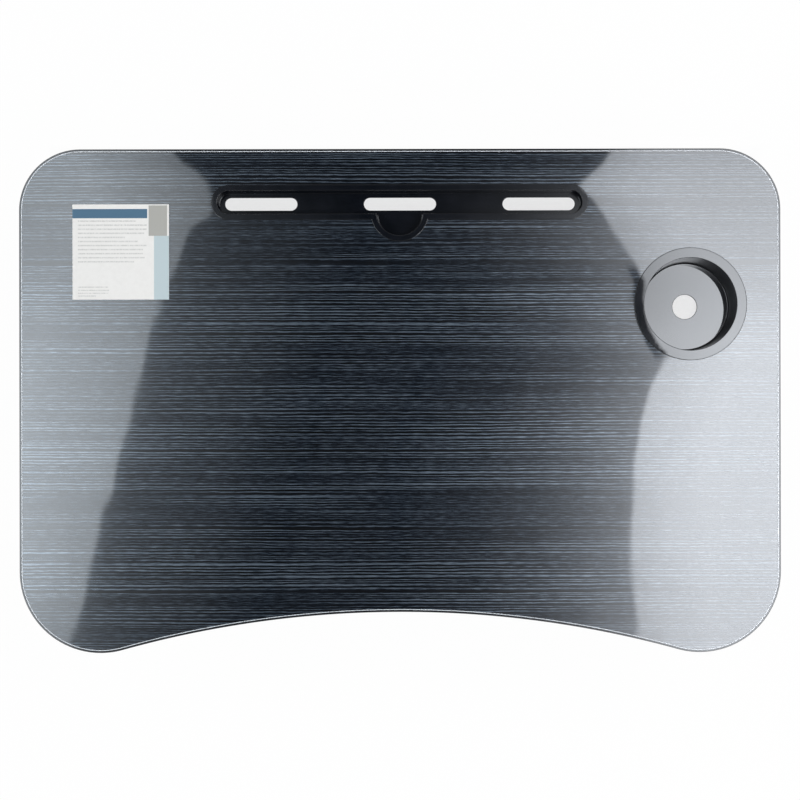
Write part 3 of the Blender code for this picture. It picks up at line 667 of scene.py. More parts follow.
def band_look():
    look = Look(
        "edge_band", (0.006, 0.007, 0.009), 0.3,
        Coat_Weight=0.8, Coat_Roughness=0.08, Specular_IOR_Level=0.2,
    )
    speck = look.noise(0.8)
    look.wear(speck, smooth=0.24, rough=0.34)
    look.bump(speck, rise=0.01 * MM)
    return look


# A pale grey finish that is a painted highlight along the band's inner top edge
def painted_highlight_look():
    look = Look("edge_painted_highlight", (0.60, 0.62, 0.65), 0.25, Coat_Weight=0.5)
    speck = look.noise(4, detail=3.0)
    look.shade(speck, dark=(0.50, 0.52, 0.55), light=(0.62, 0.64, 0.67))
    return look


def moulding_look(name, gloss_roughness, dark, light):
    """Black moulded plastic with a fine sparked texture under a clear gloss."""
    look = Look(
        name, light, 0.15,
        Coat_Weight=1.0, Coat_Roughness=gloss_roughness, Coat_IOR=1.55, Specular_IOR_Level=0.05,
    )
    spark = look.noise(0.35)
    cloud = look.noise(14, detail=3.0)
    look.shade(cloud, dark, light)
    look.wear(cloud, smooth=0.13, rough=0.18)
    look.bump(spark, rise=0.008 * MM)
    look.bump(cloud, rise=0.008 * MM, socket="Coat Normal")
    return look


def backing_look():
    """Black melamine with a pebbled press texture."""
    look = Look("backing", (0.020, 0.021, 0.023), 0.5)
    inputs = {"Vector": look.stretched(1.1), "Scale": 1.0}
    pebble = look.node("TexVoronoi", inputs, "Distance", feature="SMOOTH_F1")
    mottle = look.noise(18, detail=4.0)
    look.shade(mottle, dark=(0.015, 0.016, 0.018), light=(0.026, 0.027, 0.029))
    look.wear(mottle, smooth=0.42, rough=0.58)
    look.bump(pebble, rise=0.08 * MM)
    return look


def core_look():
    look = Look("fibreboard", (0.35, 0.23, 0.13), 0.85)
    fleck = look.noise((0.9, 0.9, 0.3), detail=4.0, roughness=0.7)
    look.shade(fleck, dark=(0.24, 0.15, 0.08), light=(0.45, 0.31, 0.19))
    look.bump(fleck, rise=0.1 * MM)
    return look


def paint_look():
    """Black powder coat with its orange-peel surface."""
    look = Look("painted_steel", (0.015, 0.016, 0.018), 0.36)
    peel = look.noise(1.4)
    patch = look.noise(30, detail=3.0)
    look.shade(patch, dark=(0.012, 0.013, 0.015), light=(0.019, 0.020, 0.022))
    look.wear(patch, smooth=0.30, rough=0.42)
    look.bump(peel, rise=0.05 * MM)
    return look


def zinc_look():
    """Bright zinc plate with faint brushing."""
    look = Look("zinc_steel", (0.56, 0.57, 0.58), 0.30, Metallic=1.0)
    brush = look.noise((0.15, 1.5, 1.5), detail=3.0)
    look.shade(brush, dark=(0.48, 0.49, 0.50), light=(0.62, 0.62, 0.61))
    look.wear(brush, smooth=0.22, rough=0.40)
    return look


def nylon_look(name, dark, light, roughness):
    look = Look(name, light, roughness)
    cloud = look.noise(6, detail=3.0)
    grain = look.noise(0.3, detail=1.0)
    look.shade(cloud, dark, light)
    look.wear(cloud, roughness - NYLON_WEAR, roughness + NYLON_WEAR)
    look.bump(grain, rise=0.01 * MM)
    return look


def rubber_look():
    look = Look("black_rubber", (0.012, 0.012, 0.013), 0.7)
    dust = look.noise(5, detail=4.0)
    pore = look.noise(0.4)
    look.put(look.ramp(dust, RUBBER_TONES), "Base Color")
    look.wear(dust, smooth=0.62, rough=0.80)
    look.bump(pore, rise=0.03 * MM)
    return look


# The label's print, in millimetres from its left and lower edges: (left, low, right, high, colour)
LABEL_BLOCKS = (
    (0.0, 64.1, 58.9, 71.4, (0.075, 0.150, 0.225)),
    (60.0, 50.2, 74.6, 74.2, (0.385, 0.375, 0.345)),
    (64.2, 0.0, 76.0, 50.2, (0.470, 0.545, 0.560)),
)
LABEL_CORNER_RADIUS = 0.3 * MM
LABEL_RULE_LEFT = 4.2
LABEL_RULE_LOW = 29.3
LABEL_RULE_PITCH = 3.2
LABEL_RULE_HEIGHT = 1.1
LABEL_SMALL_RULES = ((28.0, 9.4), (28.8, 6.9), (28.2, 4.6), (18.6, 2.4))
LABEL_SMALL_RULE_HEIGHT = 0.9
LABEL_RULE_RIGHTS = (48.4, 57.0, 55.5, 55.5, 58.5, 51.4, 41.4, 56.5, 58.5, 58.5, 49.9)
LABEL_RULE_COLOUR = (0.560, 0.545, 0.520)
# The ink's breaks along the rules: their size, the noise where they fade, and the ink's strength
LABEL_BREAK_STEPS = (0.7, 2.0, 2.0)
LABEL_BREAK_RANGE = (0.38, 0.55)
LABEL_INK_STRENGTHS = (0.35, 1.0)


def label_look():
    """White coated paper with plain printed blocks and ruled lines."""
    look = Look("label_paper", (0.80, 0.77, 0.74), 0.45, Specular_IOR_Level=0.15)
    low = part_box("label")[0]
    x = look.maths("SUBTRACT", look.axis(look.place, "X"), low.x / MM)
    y = look.maths("SUBTRACT", look.axis(look.place, "Y"), low.y / MM)
    mottle = look.noise(3, detail=3.0)
    colour = look.toned(mottle, dark=(0.750, 0.727, 0.695), light=(0.780, 0.757, 0.725))
    rules = [
        (right, LABEL_RULE_LOW + number * LABEL_RULE_PITCH, LABEL_RULE_HEIGHT)
        for number, right in enumerate(LABEL_RULE_RIGHTS)
    ]
    rules += [(right, row, LABEL_SMALL_RULE_HEIGHT) for right, row in LABEL_SMALL_RULES]
    marks = list(LABEL_BLOCKS)
    for right, row, height in rules:
        marks.append((LABEL_RULE_LEFT, row, right, row + height, LABEL_RULE_COLOUR))
    breaks = look.noise(LABEL_BREAK_STEPS, detail=1.0)
    broken = look.between(breaks, *LABEL_BREAK_RANGE, *LABEL_INK_STRENGTHS)
    for left, bottom, right, top, ink in marks:
        share = look.times(look.inside(x, left, right), look.inside(y, bottom, top))
        if ink == LABEL_RULE_COLOUR:
            share = look.times(share, broken)
        colour = look.mixed(share, colour, (*ink, 1))
    look.put(colour, "Base Color")
    look.bump(mottle, rise=0.01 * MM)
    return look


def make_label():
    low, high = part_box("label")
    outline = rounded_rectangle(high.x - low.x, high.y - low.y, LABEL_CORNER_RADIUS, FILLET_STEPS)
    mesh = plate_mesh([outline], high.z - low.z)
    place = Matrix.Translation((low + high) / 2)
    piece("paper_label", mesh, [label_look()], "tabletop", ["label"], place)


def make_laminate():
    tray_hole = tray_outline(TRAY_RIM_WIDTH - TRAY_WALL - GAP)
    cup_hole = circle(CUP_CENTRE, CUP_BORE_RADIUS + CUP_WALL + GAP, CUP_STEPS)
    edge = board_outline(BAND_BLACK_WIDTH + BAND_PAINTED_HIGHLIGHT_WIDTH + PAINTED_HIGHLIGHT_GAP)
    middle = TOP - LAMINATE_THICKNESS / 2
    mesh = plate_mesh([edge, tray_hole, cup_hole], LAMINATE_THICKNESS, middle)
    piece("wood_grain_top", mesh, [grain_look()], "tabletop", ["top_laminate"])


def make_edge_band():
    """A black strip with round lips, and a pale strip along its inner top edge that is a painted
    highlight.
    """
    painted_highlight_outer = BAND_BLACK_WIDTH
    painted_highlight_inner = painted_highlight_outer + BAND_PAINTED_HIGHLIGHT_WIDTH
    lip_low = TOP - BAND_PAINTED_HIGHLIGHT_DEPTH
    corners = [
        (0, TOP, BAND_ROUNDING),
        (painted_highlight_outer, TOP, 0),
        (painted_highlight_inner, TOP, BAND_PAINTED_HIGHLIGHT_ROUNDING),
        (painted_highlight_inner, lip_low, 0),
        (BAND_THICKNESS, lip_low, 0),
        (BAND_THICKNESS, BOARD_LOW, 0),
        (0, BOARD_LOW, BAND_ROUNDING),
    ]
    profile = filleted(corners)
    # The pale strip's faces take the painted highlight finish
    painted_highlight_low = TOP - BAND_PAINTED_HIGHLIGHT_ROUNDING
    painted_highlight_side = painted_highlight_outer - WELD_DISTANCE
    on_painted_highlight = [inset >= painted_highlight_side and height >= painted_highlight_low for inset, height in profile]
    mesh = swept_mesh(profile, board_outline, second=on_painted_highlight)
    piece("black_edge_band", mesh, [band_look(), painted_highlight_look()], "tabletop", ["edge_band"])


def make_slot_tray():
    """A trough that hangs from its rim, with slots through its floor."""
    rim_low = TRAY_HIGH.z - TRAY_RIM_HEIGHT
    floor = TRAY_LOW.z + TRAY_WALL
    wall_inset = TRAY_RIM_WIDTH - TRAY_WALL
    corners = [
        (wall_inset + TRAY_DRAFT, TRAY_LOW.z, 0),
        (wall_inset, rim_low, 0),
        (0, rim_low, 0),
        (0, TRAY_HIGH.z, TRAY_RIM_ROUNDING),
        (TRAY_RIM_ROUNDING + FLAT_MARGIN, TRAY_HIGH.z, 0),
        (TRAY_RIM_WIDTH - TRAY_RIM_ROUNDING - FLAT_MARGIN, TRAY_HIGH.z, 0),
        (TRAY_RIM_WIDTH, TRAY_HIGH.z, TRAY_RIM_ROUNDING),
        (TRAY_RIM_WIDTH + TRAY_DRAFT, floor, 0),
    ]
    mesh = swept_mesh(filleted(corners, closed=False), tray_outline, closed=False, capped=True)
    floor_inset = TRAY_RIM_WIDTH + TRAY_DRAFT
    row = TRAY_LENGTH - 2 * (floor_inset + SLOT_END_LAND)
    length = (row - (SLOT_COUNT - 1) * SLOT_BRIDGE) / SLOT_COUNT
    width = TRAY_WIDTH - 2 * (floor_inset + SLOT_SIDE_LAND)
    punches = []
    for number in range(SLOT_COUNT):
        x = (number - (SLOT_COUNT - 1) / 2) * (length + SLOT_BRIDGE)
        slot = stadium((x, TRAY_Y), length, width, SLOT_END_STEPS)
        punches.append(plate_mesh([slot], 4 * TRAY_WALL, floor - TRAY_WALL / 2))
    mesh = softened(combined(mesh, "DIFFERENCE", punches), SLOT_ROUNDING)
    piece("moulded_slot_tray", mesh, [black_moulding], "tabletop", ["slot_tray"])


def make_cup_holder():
    flange_low = TOP + GAP
    flange_high = flange_low + CUP_FLANGE_HEIGHT
    floor = TOP - CUP_DEPTH
    floor_radius = CUP_BORE_RADIUS - CUP_DRAFT
    corners = [
        (CUP_FLANGE_RADIUS - CUP_FLANGE_ROUNDING - FLAT_MARGIN, flange_high, 0),
        (CUP_FLANGE_RADIUS, flange_high, CUP_FLANGE_ROUNDING),
        (CUP_FLANGE_RADIUS, flange_low, 0),
        (CUP_BORE_RADIUS + CUP_WALL, flange_low, 0),
        (floor_radius + CUP_WALL, floor - CUP_WALL, CUP_FLOOR_FILLET),
        (CUP_HOLE_RADIUS, floor - CUP_WALL, CUP_HOLE_ROUNDING),
        (CUP_HOLE_RADIUS, floor, CUP_HOLE_ROUNDING),
        (floor_radius, floor, CUP_FLOOR_FILLET),
        (CUP_BORE_RADIUS, flange_high, CUP_FLANGE_ROUNDING),
        (CUP_BORE_RADIUS + CUP_FLANGE_ROUNDING + FLAT_MARGIN, flange_high, 0),
    ]
    mesh = turned_mesh(corners, steps=CUP_STEPS, centre=CUP_CENTRE)
    # The bowl's wall takes the lighter satin copy of the moulding: painted light that lifts the
    # wall's shade
    for face in mesh.polygons:
        out = (face.center.xy - Vector(CUP_CENTRE)).length
        inner = floor_radius - CUP_FLOOR_FILLET < out < CUP_BORE_RADIUS
        if inner and floor + CUP_FLOOR_FILLET / 2 < face.center.z < TOP:
            face.material_index = 1
    looks = [black_moulding, satin_painted_light_moulding]
    piece("moulded_cup_holder", mesh, looks, "tabletop", ["cup_holder"])


def leg_route():
    """The tube's centre line as (y, z) from its rear end round to its front end."""
    corner = (HINGE_Y - LEG_CORNER_RADIUS, LEG_CORNER_RADIUS - LEG_REACH)
    rear = [(HINGE_Y, -TUBE_START)]
    rear += arc(corner, LEG_CORNER_RADIUS, 0, -90, LEG_CORNER_STEPS)
    run = CRANK_OUTER_Y - CRANK_INNER_Y
    for step in range(CRANK_STEPS + 1):
        climb = (1 - math.cos(math.pi * step / CRANK_STEPS)) / 2
        rear.append((CRANK_OUTER_Y - run * step / CRANK_STEPS, CRANK_RISE * climb - LEG_REACH))
    return rear + [(-y, z) for y, z in reversed(rear)]


def leg_tube_mesh():
    curve = bpy.data.curves.new("leg", "CURVE")
    curve.dimensions = "3D"
    curve.bevel_depth = TUBE_RADIUS
    curve.bevel_resolution = TUBE_BEVEL_RESOLUTION
    curve.use_fill_caps = True
    add_line(curve, [(0, y, z) for y, z in leg_route()])
    return curve_mesh(curve)


def foot_mesh():
    """A rubber sleeve round the bottom bar, cut flat where it stands on the floor."""
    half = FOOT_LENGTH / 2
    bore = TUBE_RADIUS + GAP
    corners = [
        (FOOT_RADIUS, half, FOOT_ROUNDING),
        (FOOT_RADIUS, -half, FOOT_ROUNDING),
        (bore, -half, 0),
        (bore, half, 0),
    ]
    sleeve = turned_mesh(corners, steps=FOOT_STEPS)
    sleeve.transform(ALONG_Y)
    floor = FOOT_FLAT_DEPTH - FOOT_RADIUS
    low = (-FOOT_RADIUS, -FOOT_LENGTH, floor - FOOT_RADIUS)
    cutter = box_mesh(low, (FOOT_RADIUS, FOOT_LENGTH, floor))
    cutter.transform(Matrix.Rotation(LEG_SPLAY, 4, "Y"))
    return combined(sleeve, "DIFFERENCE", [cutter])


def knuckle_mesh():
    """The nylon eye and its collar, with rounded edges, and the start of its plug."""
    collar_low = COLLAR_TOP + COLLAR_HEIGHT
    eye_end = -COLLAR_TOP - COLLAR_HEIGHT / 2
    outline = arc((0, 0), TUBE_RADIUS, 0, 180, EYE_STEPS)
    outline += [(-TUBE_RADIUS, eye_end), (TUBE_RADIUS, eye_end)]
    eye = upright_plate([outline, circle((0, 0), EYE_HOLE_RADIUS, EYE_STEPS)], EYE_THICKNESS)
    corners = [
        (0, -COLLAR_TOP, 0),
        (TUBE_RADIUS + GAP, -COLLAR_TOP, COLLAR_ROUNDING),
        (TUBE_RADIUS + GAP, -collar_low, 0),
        (0, -collar_low, 0),
    ]
    collar = turned_mesh(corners, closed=False)
    return softened(combined(eye, "UNION", [collar]), EYE_ROUNDING)


def bracket_mesh():
    """A pressed hinge bracket round its pin's axis: a plate with ears, two cheeks and the wall
    that stops the open leg."""
    x, y = SCREW_PLACE
    centres = ((-x, -y), (-x, y), (x, -y), (x, y))
    holes = [circle(centre, SCREW_HOLE_RADIUS, EYE_STEPS) for centre in centres]
    edge = rounded_rectangle(PLATE_LENGTH, PLATE_LENGTH, PLATE_CORNER_RADIUS, PLATE_CORNER_STEPS)
    plate = plate_mesh([edge, *holes], SHEET_THICKNESS, PLATE_Z)
    stop_outer = STOP_INNER_X + SHEET_THICKNESS
    outline = [(stop_outer, PLATE_Z), (-CHEEK_RADIUS, PLATE_Z)]
    outline += arc((0, 0), CHEEK_RADIUS, 180, 270, EYE_STEPS)
    outline += [(stop_outer, -CHEEK_RADIUS)]
    hole = circle((0, 0), EYE_HOLE_RADIUS, EYE_STEPS)
    cheek_y = (CHEEK_INNER_Y + CHEEK_OUTER_Y) / 2
    cheeks = [upright_plate([outline, hole], SHEET_THICKNESS, dy * cheek_y) for dy in (-1, 1)]
    stop = box_mesh((STOP_INNER_X, -cheek_y, -CHEEK_RADIUS), (stop_outer, cheek_y, PLATE_Z))
    return softened(combined(plate, "UNION", [*cheeks, stop]), SHEET_ROUNDING)


def pin_mesh():
    """A riveted pin along Z: domed heads with a dimple in each."""
    seat = CHEEK_OUTER_Y + GAP
    end = seat + PIN_HEAD_HEIGHT
    upper = [
        (0, end - PIN_DIMPLE_DEPTH, 0),
        (PIN_DIMPLE_RADIUS, end, PIN_DIMPLE_ROUNDING),
        (PIN_DOME_RADIUS, end, PIN_DOME_ROUNDING),
        (PIN_HEAD_RADIUS, seat + PIN_SIDE_HEIGHT, PIN_SIDE_ROUNDING),
        (PIN_HEAD_RADIUS, seat, 0),
        (PIN_RADIUS, seat, 0),
    ]
    lower = [(radius, -height, fillet) for radius, height, fillet in reversed(upper)]
    return turned_mesh(upper + lower, closed=False)


def washer_mesh():
    half = WASHER_THICKNESS / 2
    corners = [
        (WASHER_RADIUS, half, WASHER_ROUNDING),
        (WASHER_RADIUS, -half, WASHER_ROUNDING),
        (EYE_HOLE_RADIUS, -half, WASHER_ROUNDING),
        (EYE_HOLE_RADIUS, half, WASHER_ROUNDING),
    ]
    return turned_mesh(corners)


def screw_mesh():
    """A pan-head screw that points up, with a cross recess in its head."""
    corners = [
        (0, SCREW_SHANK_LENGTH, 0),
        (SCREW_SHANK_RADIUS, SCREW_SHANK_LENGTH - SCREW_TIP_LENGTH, 0),
        (SCREW_SHANK_RADIUS, 0, 0),
        (SCREW_HEAD_RADIUS, 0, 0),
        (SCREW_HEAD_RADIUS, -SCREW_HEAD_EDGE, SCREW_EDGE_ROUNDING),
        (SCREW_DOME_RADIUS, -SCREW_HEAD_HEIGHT, SCREW_DOME_ROUNDING),
        (0, -SCREW_HEAD_HEIGHT, 0),
    ]
    mesh = turned_mesh(corners, closed=False)
    bars = []
    outline = rounded_rectangle(CROSS_LENGTH, CROSS_WIDTH, CROSS_ROUNDING, CROSS_CORNER_STEPS)
    for turn in (0, QUARTER_TURN):
        bar = plate_mesh([outline], 2 * CROSS_DEPTH, -SCREW_HEAD_HEIGHT)
        bar.transform(Matrix.Rotation(turn, 4, "Z"))
        bars.append(bar)
    cross = combined(bars[0], "UNION", bars[1:])
    return combined(mesh, "DIFFERENCE", [cross])


def clip_mesh():
    """A leg clip, drawn round the middle of the tube that it takes."""
    base_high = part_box("right_leg_clip")[1].z - HINGE_Z
    base_low = base_high - CLIP_THICKNESS
    outer = CLIP_INNER_X + CLIP_THICKNESS
    right = [
        (outer, base_high),
        (outer, -CLIP_GRIP_DEPTH),
        (CLIP_INNER_X + CLIP_LEAD_IN, -CLIP_GRIP_DEPTH),
        (CLIP_INNER_X, CLIP_LEAD_IN - CLIP_GRIP_DEPTH),
        (CLIP_INNER_X, base_low),
    ]
    jaws = upright_plate([right + [(-x, z) for x, z in reversed(right)]], CLIP_JAW_WIDTH)
    centres = ((0, -CLIP_SCREW_Y), (0, CLIP_SCREW_Y))
    holes = [circle(centre, SCREW_HOLE_RADIUS, EYE_STEPS) for centre in centres]
    width = 2 * CLIP_INNER_X
    edge = rounded_rectangle(width, CLIP_LENGTH, PLATE_CORNER_RADIUS, PLATE_CORNER_STEPS)
    base = plate_mesh([edge, *holes], CLIP_THICKNESS, (base_low + base_high) / 2)
    return softened(combined(jaws, "UNION", [base]), CLIP_ROUNDING)


def side_turn(across):
    """Turns what is made for the right side half round for the left one."""
    return Matrix.Rotation(0 if across > 0 else math.pi, 4, "Z")


def make_hinges():
    bracket, pin, washer = bracket_mesh(), pin_mesh(), washer_mesh()
    for side, across in SIDES.items():
        for row, back in ROWS.items():
            hinge = f"{side}_{row}"
            place = Matrix.Translation((across * HINGE_X, back * HINGE_Y, HINGE_Z))
            piece(f"{hinge}_pressed_bracket", bracket, [painted_steel], "tabletop",
                  [f"{hinge}_bracket"], place @ side_turn(across))
            piece(f"{hinge}_riveted_pin", pin, [zinc_steel], "tabletop",
                  [f"{hinge}_pin"], place @ ALONG_Y)
            for ring in ("inner", "outer"):
                low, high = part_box(f"{hinge}_{ring}_washer")
                centre = Matrix.Translation((low + high) / 2)
                piece(f"{hinge}_{ring}_nylon_washer", washer, [white_nylon], "tabletop",
                      [f"{hinge}_{ring}_washer"], centre @ ALONG_Y)


def make_legs():
    tube, knuckle, foot = leg_tube_mesh(), knuckle_mesh(), foot_mesh()
    for side, across in SIDES.items():
        leg = Matrix.Translation((across * HINGE_X, 0, HINGE_Z)) @ side_turn(across)
        leg @= Matrix.Rotation(-LEG_SPLAY, 4, "Y")
        body = f"{side}_leg"
        piece(f"{side}_bent_tube", tube, [painted_steel], body, [f"{side}_leg_tube"], leg)
        for row, back in ROWS.items():
            y = across * back
            piece(f"{side}_{row}_eye_knuckle", knuckle, [black_nylon], body,
                  [f"{side}_{row}_knuckle"], leg @ Matrix.Translation((0, y * HINGE_Y, 0)))
            piece(f"{side}_{row}_rubber_foot", foot, [black_rubber], body,
                  [f"{side}_{row}_foot"], leg @ Matrix.Translation((0, y * FOOT_Y, -LEG_REACH)))


def make_clips():
    clip = clip_mesh()
    for side in SIDES:
        low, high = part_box(f"{side}_leg_clip")
        place = Matrix.Translation(((low.x + high.x) / 2, 0, HINGE_Z))
        piece(f"{side}_tube_clip", clip, [black_nylon], "tabletop", [f"{side}_leg_clip"], place)


def make_screws():
    screw = screw_mesh()
    nodes = [node for node in sorted(frame["nodes"]) if "screw" in node]
    for number, node in enumerate(nodes, start=1):
        low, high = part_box(node)
        x, y = ((low + high) / 2).xy
        place = Matrix.Translation((x, y, low.z + SCREW_HEAD_HEIGHT))
        place @= Matrix.Rotation(number * SCREW_TURN, 4, "Z")
        piece(f"{node}_cross_head", screw, [zinc_steel], "tabletop", [node], place)


def dress_cad_node(name, look):
    for slot in frame["nodes"][name].material_slots:
        slot.link = "OBJECT"
        slot.material = look.material


# Where the lamps' reflections end on the board, as (y, x) from the front to the rear
LEFT_GLARE_EDGE = (
    (-0.27, -0.288), (-0.181, -0.259), (-0.156, -0.25), (-0.118, -0.2413), (-0.08, -0.2322),
    (-0.042, -0.2199), (-0.005, -0.2098), (0.021, -0.2035), (0.046, -0.1968), (0.071, -0.1905),
    (0.107, -0.1776), (0.126, -0.169), (0.1351, -0.163), (0.1386, -0.1596), (0.1421, -0.1553),
    (0.1456, -0.1515), (0.1492, -0.1492), (0.1646, -0.1488), (0.1724, -0.1512), (0.178, -0.1552),
    (0.185, -0.1625), (0.1928, -0.1715), (0.26, -0.24),
)
RIGHT_GLARE_EDGE = (
    (-0.27, 0.198), (-0.179, 0.1858), (-0.157, 0.1833), (-0.124, 0.182), (-0.091, 0.1815),
    (-0.07, 0.1812), (-0.058, 0.1816), (-0.036, 0.186), (-0.014, 0.1906), (0.008, 0.1982),
    (0.019, 0.2044), (0.03, 0.2086), (0.037, 0.2098), (0.0435, 0.2035), (0.05, 0.2003),
    (0.059, 0.1955), (0.079, 0.1925), (0.094, 0.1925), (0.101, 0.1885), (0.117, 0.1778),
    (0.132, 0.1688), (0.148, 0.16), (0.158, 0.153), (0.166, 0.144), (0.171, 0.1439),
    (0.178, 0.149), (0.185, 0.1565), (0.192, 0.1633), (0.26, 0.215),
)
# The lamps' glow by the distance from that edge
LEFT_GLOW = (
    (-0.15, 0.0), (-0.11, 0.02), (-0.08, 0.05), (-0.057, 0.07), (-0.033, 0.1), (-0.012, 0.15),
    (-0.002, 0.2), (0.002, 0.72), (0.038, 0.9), (0.066, 1.0), (0.09, 1.12), (0.2, 1.12),
)
RIGHT_GLOW = (
    (-0.19, 0.0), (-0.121, 0.02), (-0.074, 0.07), (-0.042, 0.15), (-0.022, 0.22), (-0.009, 0.27),
    (-0.008, 0.27), (-0.002, 0.28), (0.002, 0.76), (0.03, 0.92), (0.06, 1.0), (0.2, 1.0),
)
# The glow along the board, by the edge and far out from it
LEFT_NEAR_GLOW = (
    (-0.2, 0.85), (-0.145, 0.93), (-0.107, 1.03), (-0.031, 0.98), (0.044, 0.88),
    (0.12, 0.6), (0.165, 0.49), (0.26, 0.45),
)
LEFT_FAR_GLOW = (
    (-0.2, 0.97), (-0.145, 1.05), (-0.107, 1.1), (-0.031, 1.03), (0.044, 0.92),
    (0.12, 0.72), (0.165, 0.69), (0.26, 0.62),
)
RIGHT_NEAR_GLOW = (
    (-0.2, 0.8), (-0.145, 0.79), (-0.107, 0.87), (-0.05, 0.87), (0.0, 0.94), (0.045, 0.93),
    (0.075, 0.7), (0.12, 0.59), (0.165, 0.53), (0.26, 0.48),
)
RIGHT_FAR_GLOW = (
    (-0.2, 0.86), (-0.145, 0.91), (-0.107, 0.95), (-0.05, 0.98), (0.0, 0.97), (0.045, 0.94),
    (0.075, 0.9), (0.12, 0.76), (0.177, 0.62), (0.2, 0.53), (0.26, 0.5),
)
FAR_DISTANCE = 0.09
# How strong the haze is along the board, and where it stops short of the cup
HAZE_DEPTH_GLOW = ((-0.2, 1.3), (-0.12, 1.0), (0.1, 1.0), (0.14, 0.9), (0.165, 0.35), (0.26, 0.2))
RIM_SHADOW = ((-0.27, 1.0), (0.032, 1.0), (0.038, 0.16), (0.101, 0.16), (0.106, 1.0), (0.26, 1.0))
RIM_SHADOW_WIDTH = 0.0085
# Each lamp's curves, colour and strength
LEFT_LAMP = (LEFT_GLARE_EDGE, LEFT_GLOW, LEFT_NEAR_GLOW, LEFT_FAR_GLOW, (1, 1.08, 1.145), 5.4)
RIGHT_LAMP = (RIGHT_GLARE_EDGE, RIGHT_GLOW, RIGHT_NEAR_GLOW, RIGHT_FAR_GLOW, (1, 1.04, 1.1), 11.1)
LAMP_ROWS = 160


def on_curve(points, place):
    """The value at a place on the smooth curve through rising (place, value) points."""
    place = min(max(place, points[0][0]), points[-1][0])
    i = 0
    while points[i + 1][0] < place:
        i += 1
    (before, first), (start, low), (end, high), (after, last) = (
        points[max(i - 1, 0)], points[i], points[i + 1], points[min(i + 2, len(points) - 1)]
    )
    span = end - start
    t = (place - start) / span
    leave = span * (high - first) / (end - before)
    arrive = span * (last - low) / (after - start)
    return (
        (2 * t**3 - 3 * t**2 + 1) * low
        + (t**3 - 2 * t**2 + t) * leave
        + (3 * t**2 - 2 * t**3) * high
        + (t**3 - t**2) * arrive
    )


def make_lamp(name, edge, glow, near_glow, far_glow, colour, strength):
    """A softbox at the camera's height that the glossy top mirrors. The glare on the board ends
    at the edge, with a faint haze inside of it."""
    out = math.copysign(1, edge[0][1])
    shape = bmesh.new()
    level = shape.verts.layers.float.new("glow")
    rows = []
    for row in range(LAMP_ROWS + 1):
        y = edge[0][0] + (edge[-1][0] - edge[0][0]) * row / LAMP_ROWS
        line = []
        for distance, share in glow:
            x = on_curve(edge, y) + out * distance
            mirrored = (2 * x - CAMERA_RIGHT, 2 * y + CAMERA_FORWARD, TOP + CAMERA_HEIGHT)
            vertex = shape.verts.new(mirrored)
            far = min(max(distance / FAR_DISTANCE, 0), 1)
            along = (1 - far) * on_curve(near_glow, y) + far * on_curve(far_glow, y)
            vertex[level] = share * along
            if distance < 0:
                vertex[level] *= on_curve(HAZE_DEPTH_GLOW, y)
            if out > 0 and -RIM_SHADOW_WIDTH < distance < 0:
                vertex[level] *= on_curve(RIM_SHADOW, y)
            line.append(vertex)
        rows.append(line)
    for front, back in zip(rows, rows[1:]):
        for i in range(len(glow) - 1):
            shape.faces.new((front[i], front[i + 1], back[i + 1], back[i]))
    mesh = mesh_of(shape, name)
    panel = placed(name, mesh)
    panel.visible_camera = False
    material = bpy.data.materials.new(name)
    nodes = Nodes(material)
    share = nodes.node("Attribute", {}, "Fac", attribute_name="glow")
    level = nodes.times(share, strength)
    nodes.show(nodes.node("Emission", {"Color": (*colour, 1), "Strength": level}))
    mesh.materials.append(material)


WORLD_LEVEL = 0.74
CEILING_LEVEL = 0.04
# How far up a ray points, from 0 to 1, where the ceiling starts and where it is at its full depth
CEILING_EDGE = (0.80, 0.93)
SKY_COLOUR = (0.98, 0.98, 0.98)


def make_world():
    """White to the camera, a soft level light, and a dim ceiling over the camera."""
    world = bpy.data.worlds.new("studio")
    bpy.context.scene.world = world
    nodes = Nodes(world)
    up = nodes.axis(nodes.node("TexCoord", {}, "Generated"), "Z")
    level = nodes.between(up, *CEILING_EDGE, WORLD_LEVEL, CEILING_LEVEL)
    soft = nodes.node("Background", {"Strength": level})
    white = nodes.node("Background", {"Color": (*SKY_COLOUR, 1)})
    seen = nodes.node("LightPath", {}, "Is Camera Ray")
    nodes.show(nodes.node("MixShader", {0: seen, 1: soft, 2: white}), "OutputWorld")


FLOOR_SIZE = 80.0
FLOOR_LEVEL = -0.5 * MM
FLOOR_COLOUR = (0.95, 0.95, 0.95)
FLOOR_GLOW_IN_PAINTED_SHADE = 0.60
FLOOR_GLOW_OPEN = 0.97
# The floor glows less under the table, which is painted shade: half its size, its middle and its
# fade, in millimetres
PAINTED_SHADE_HALF = (290, 170)
PAINTED_SHADE_Y = 30
FLOOR_GLOW_FADE = 50
WHITE_FLOOR_RAYS = ("Camera", "Glossy", "Transmission")


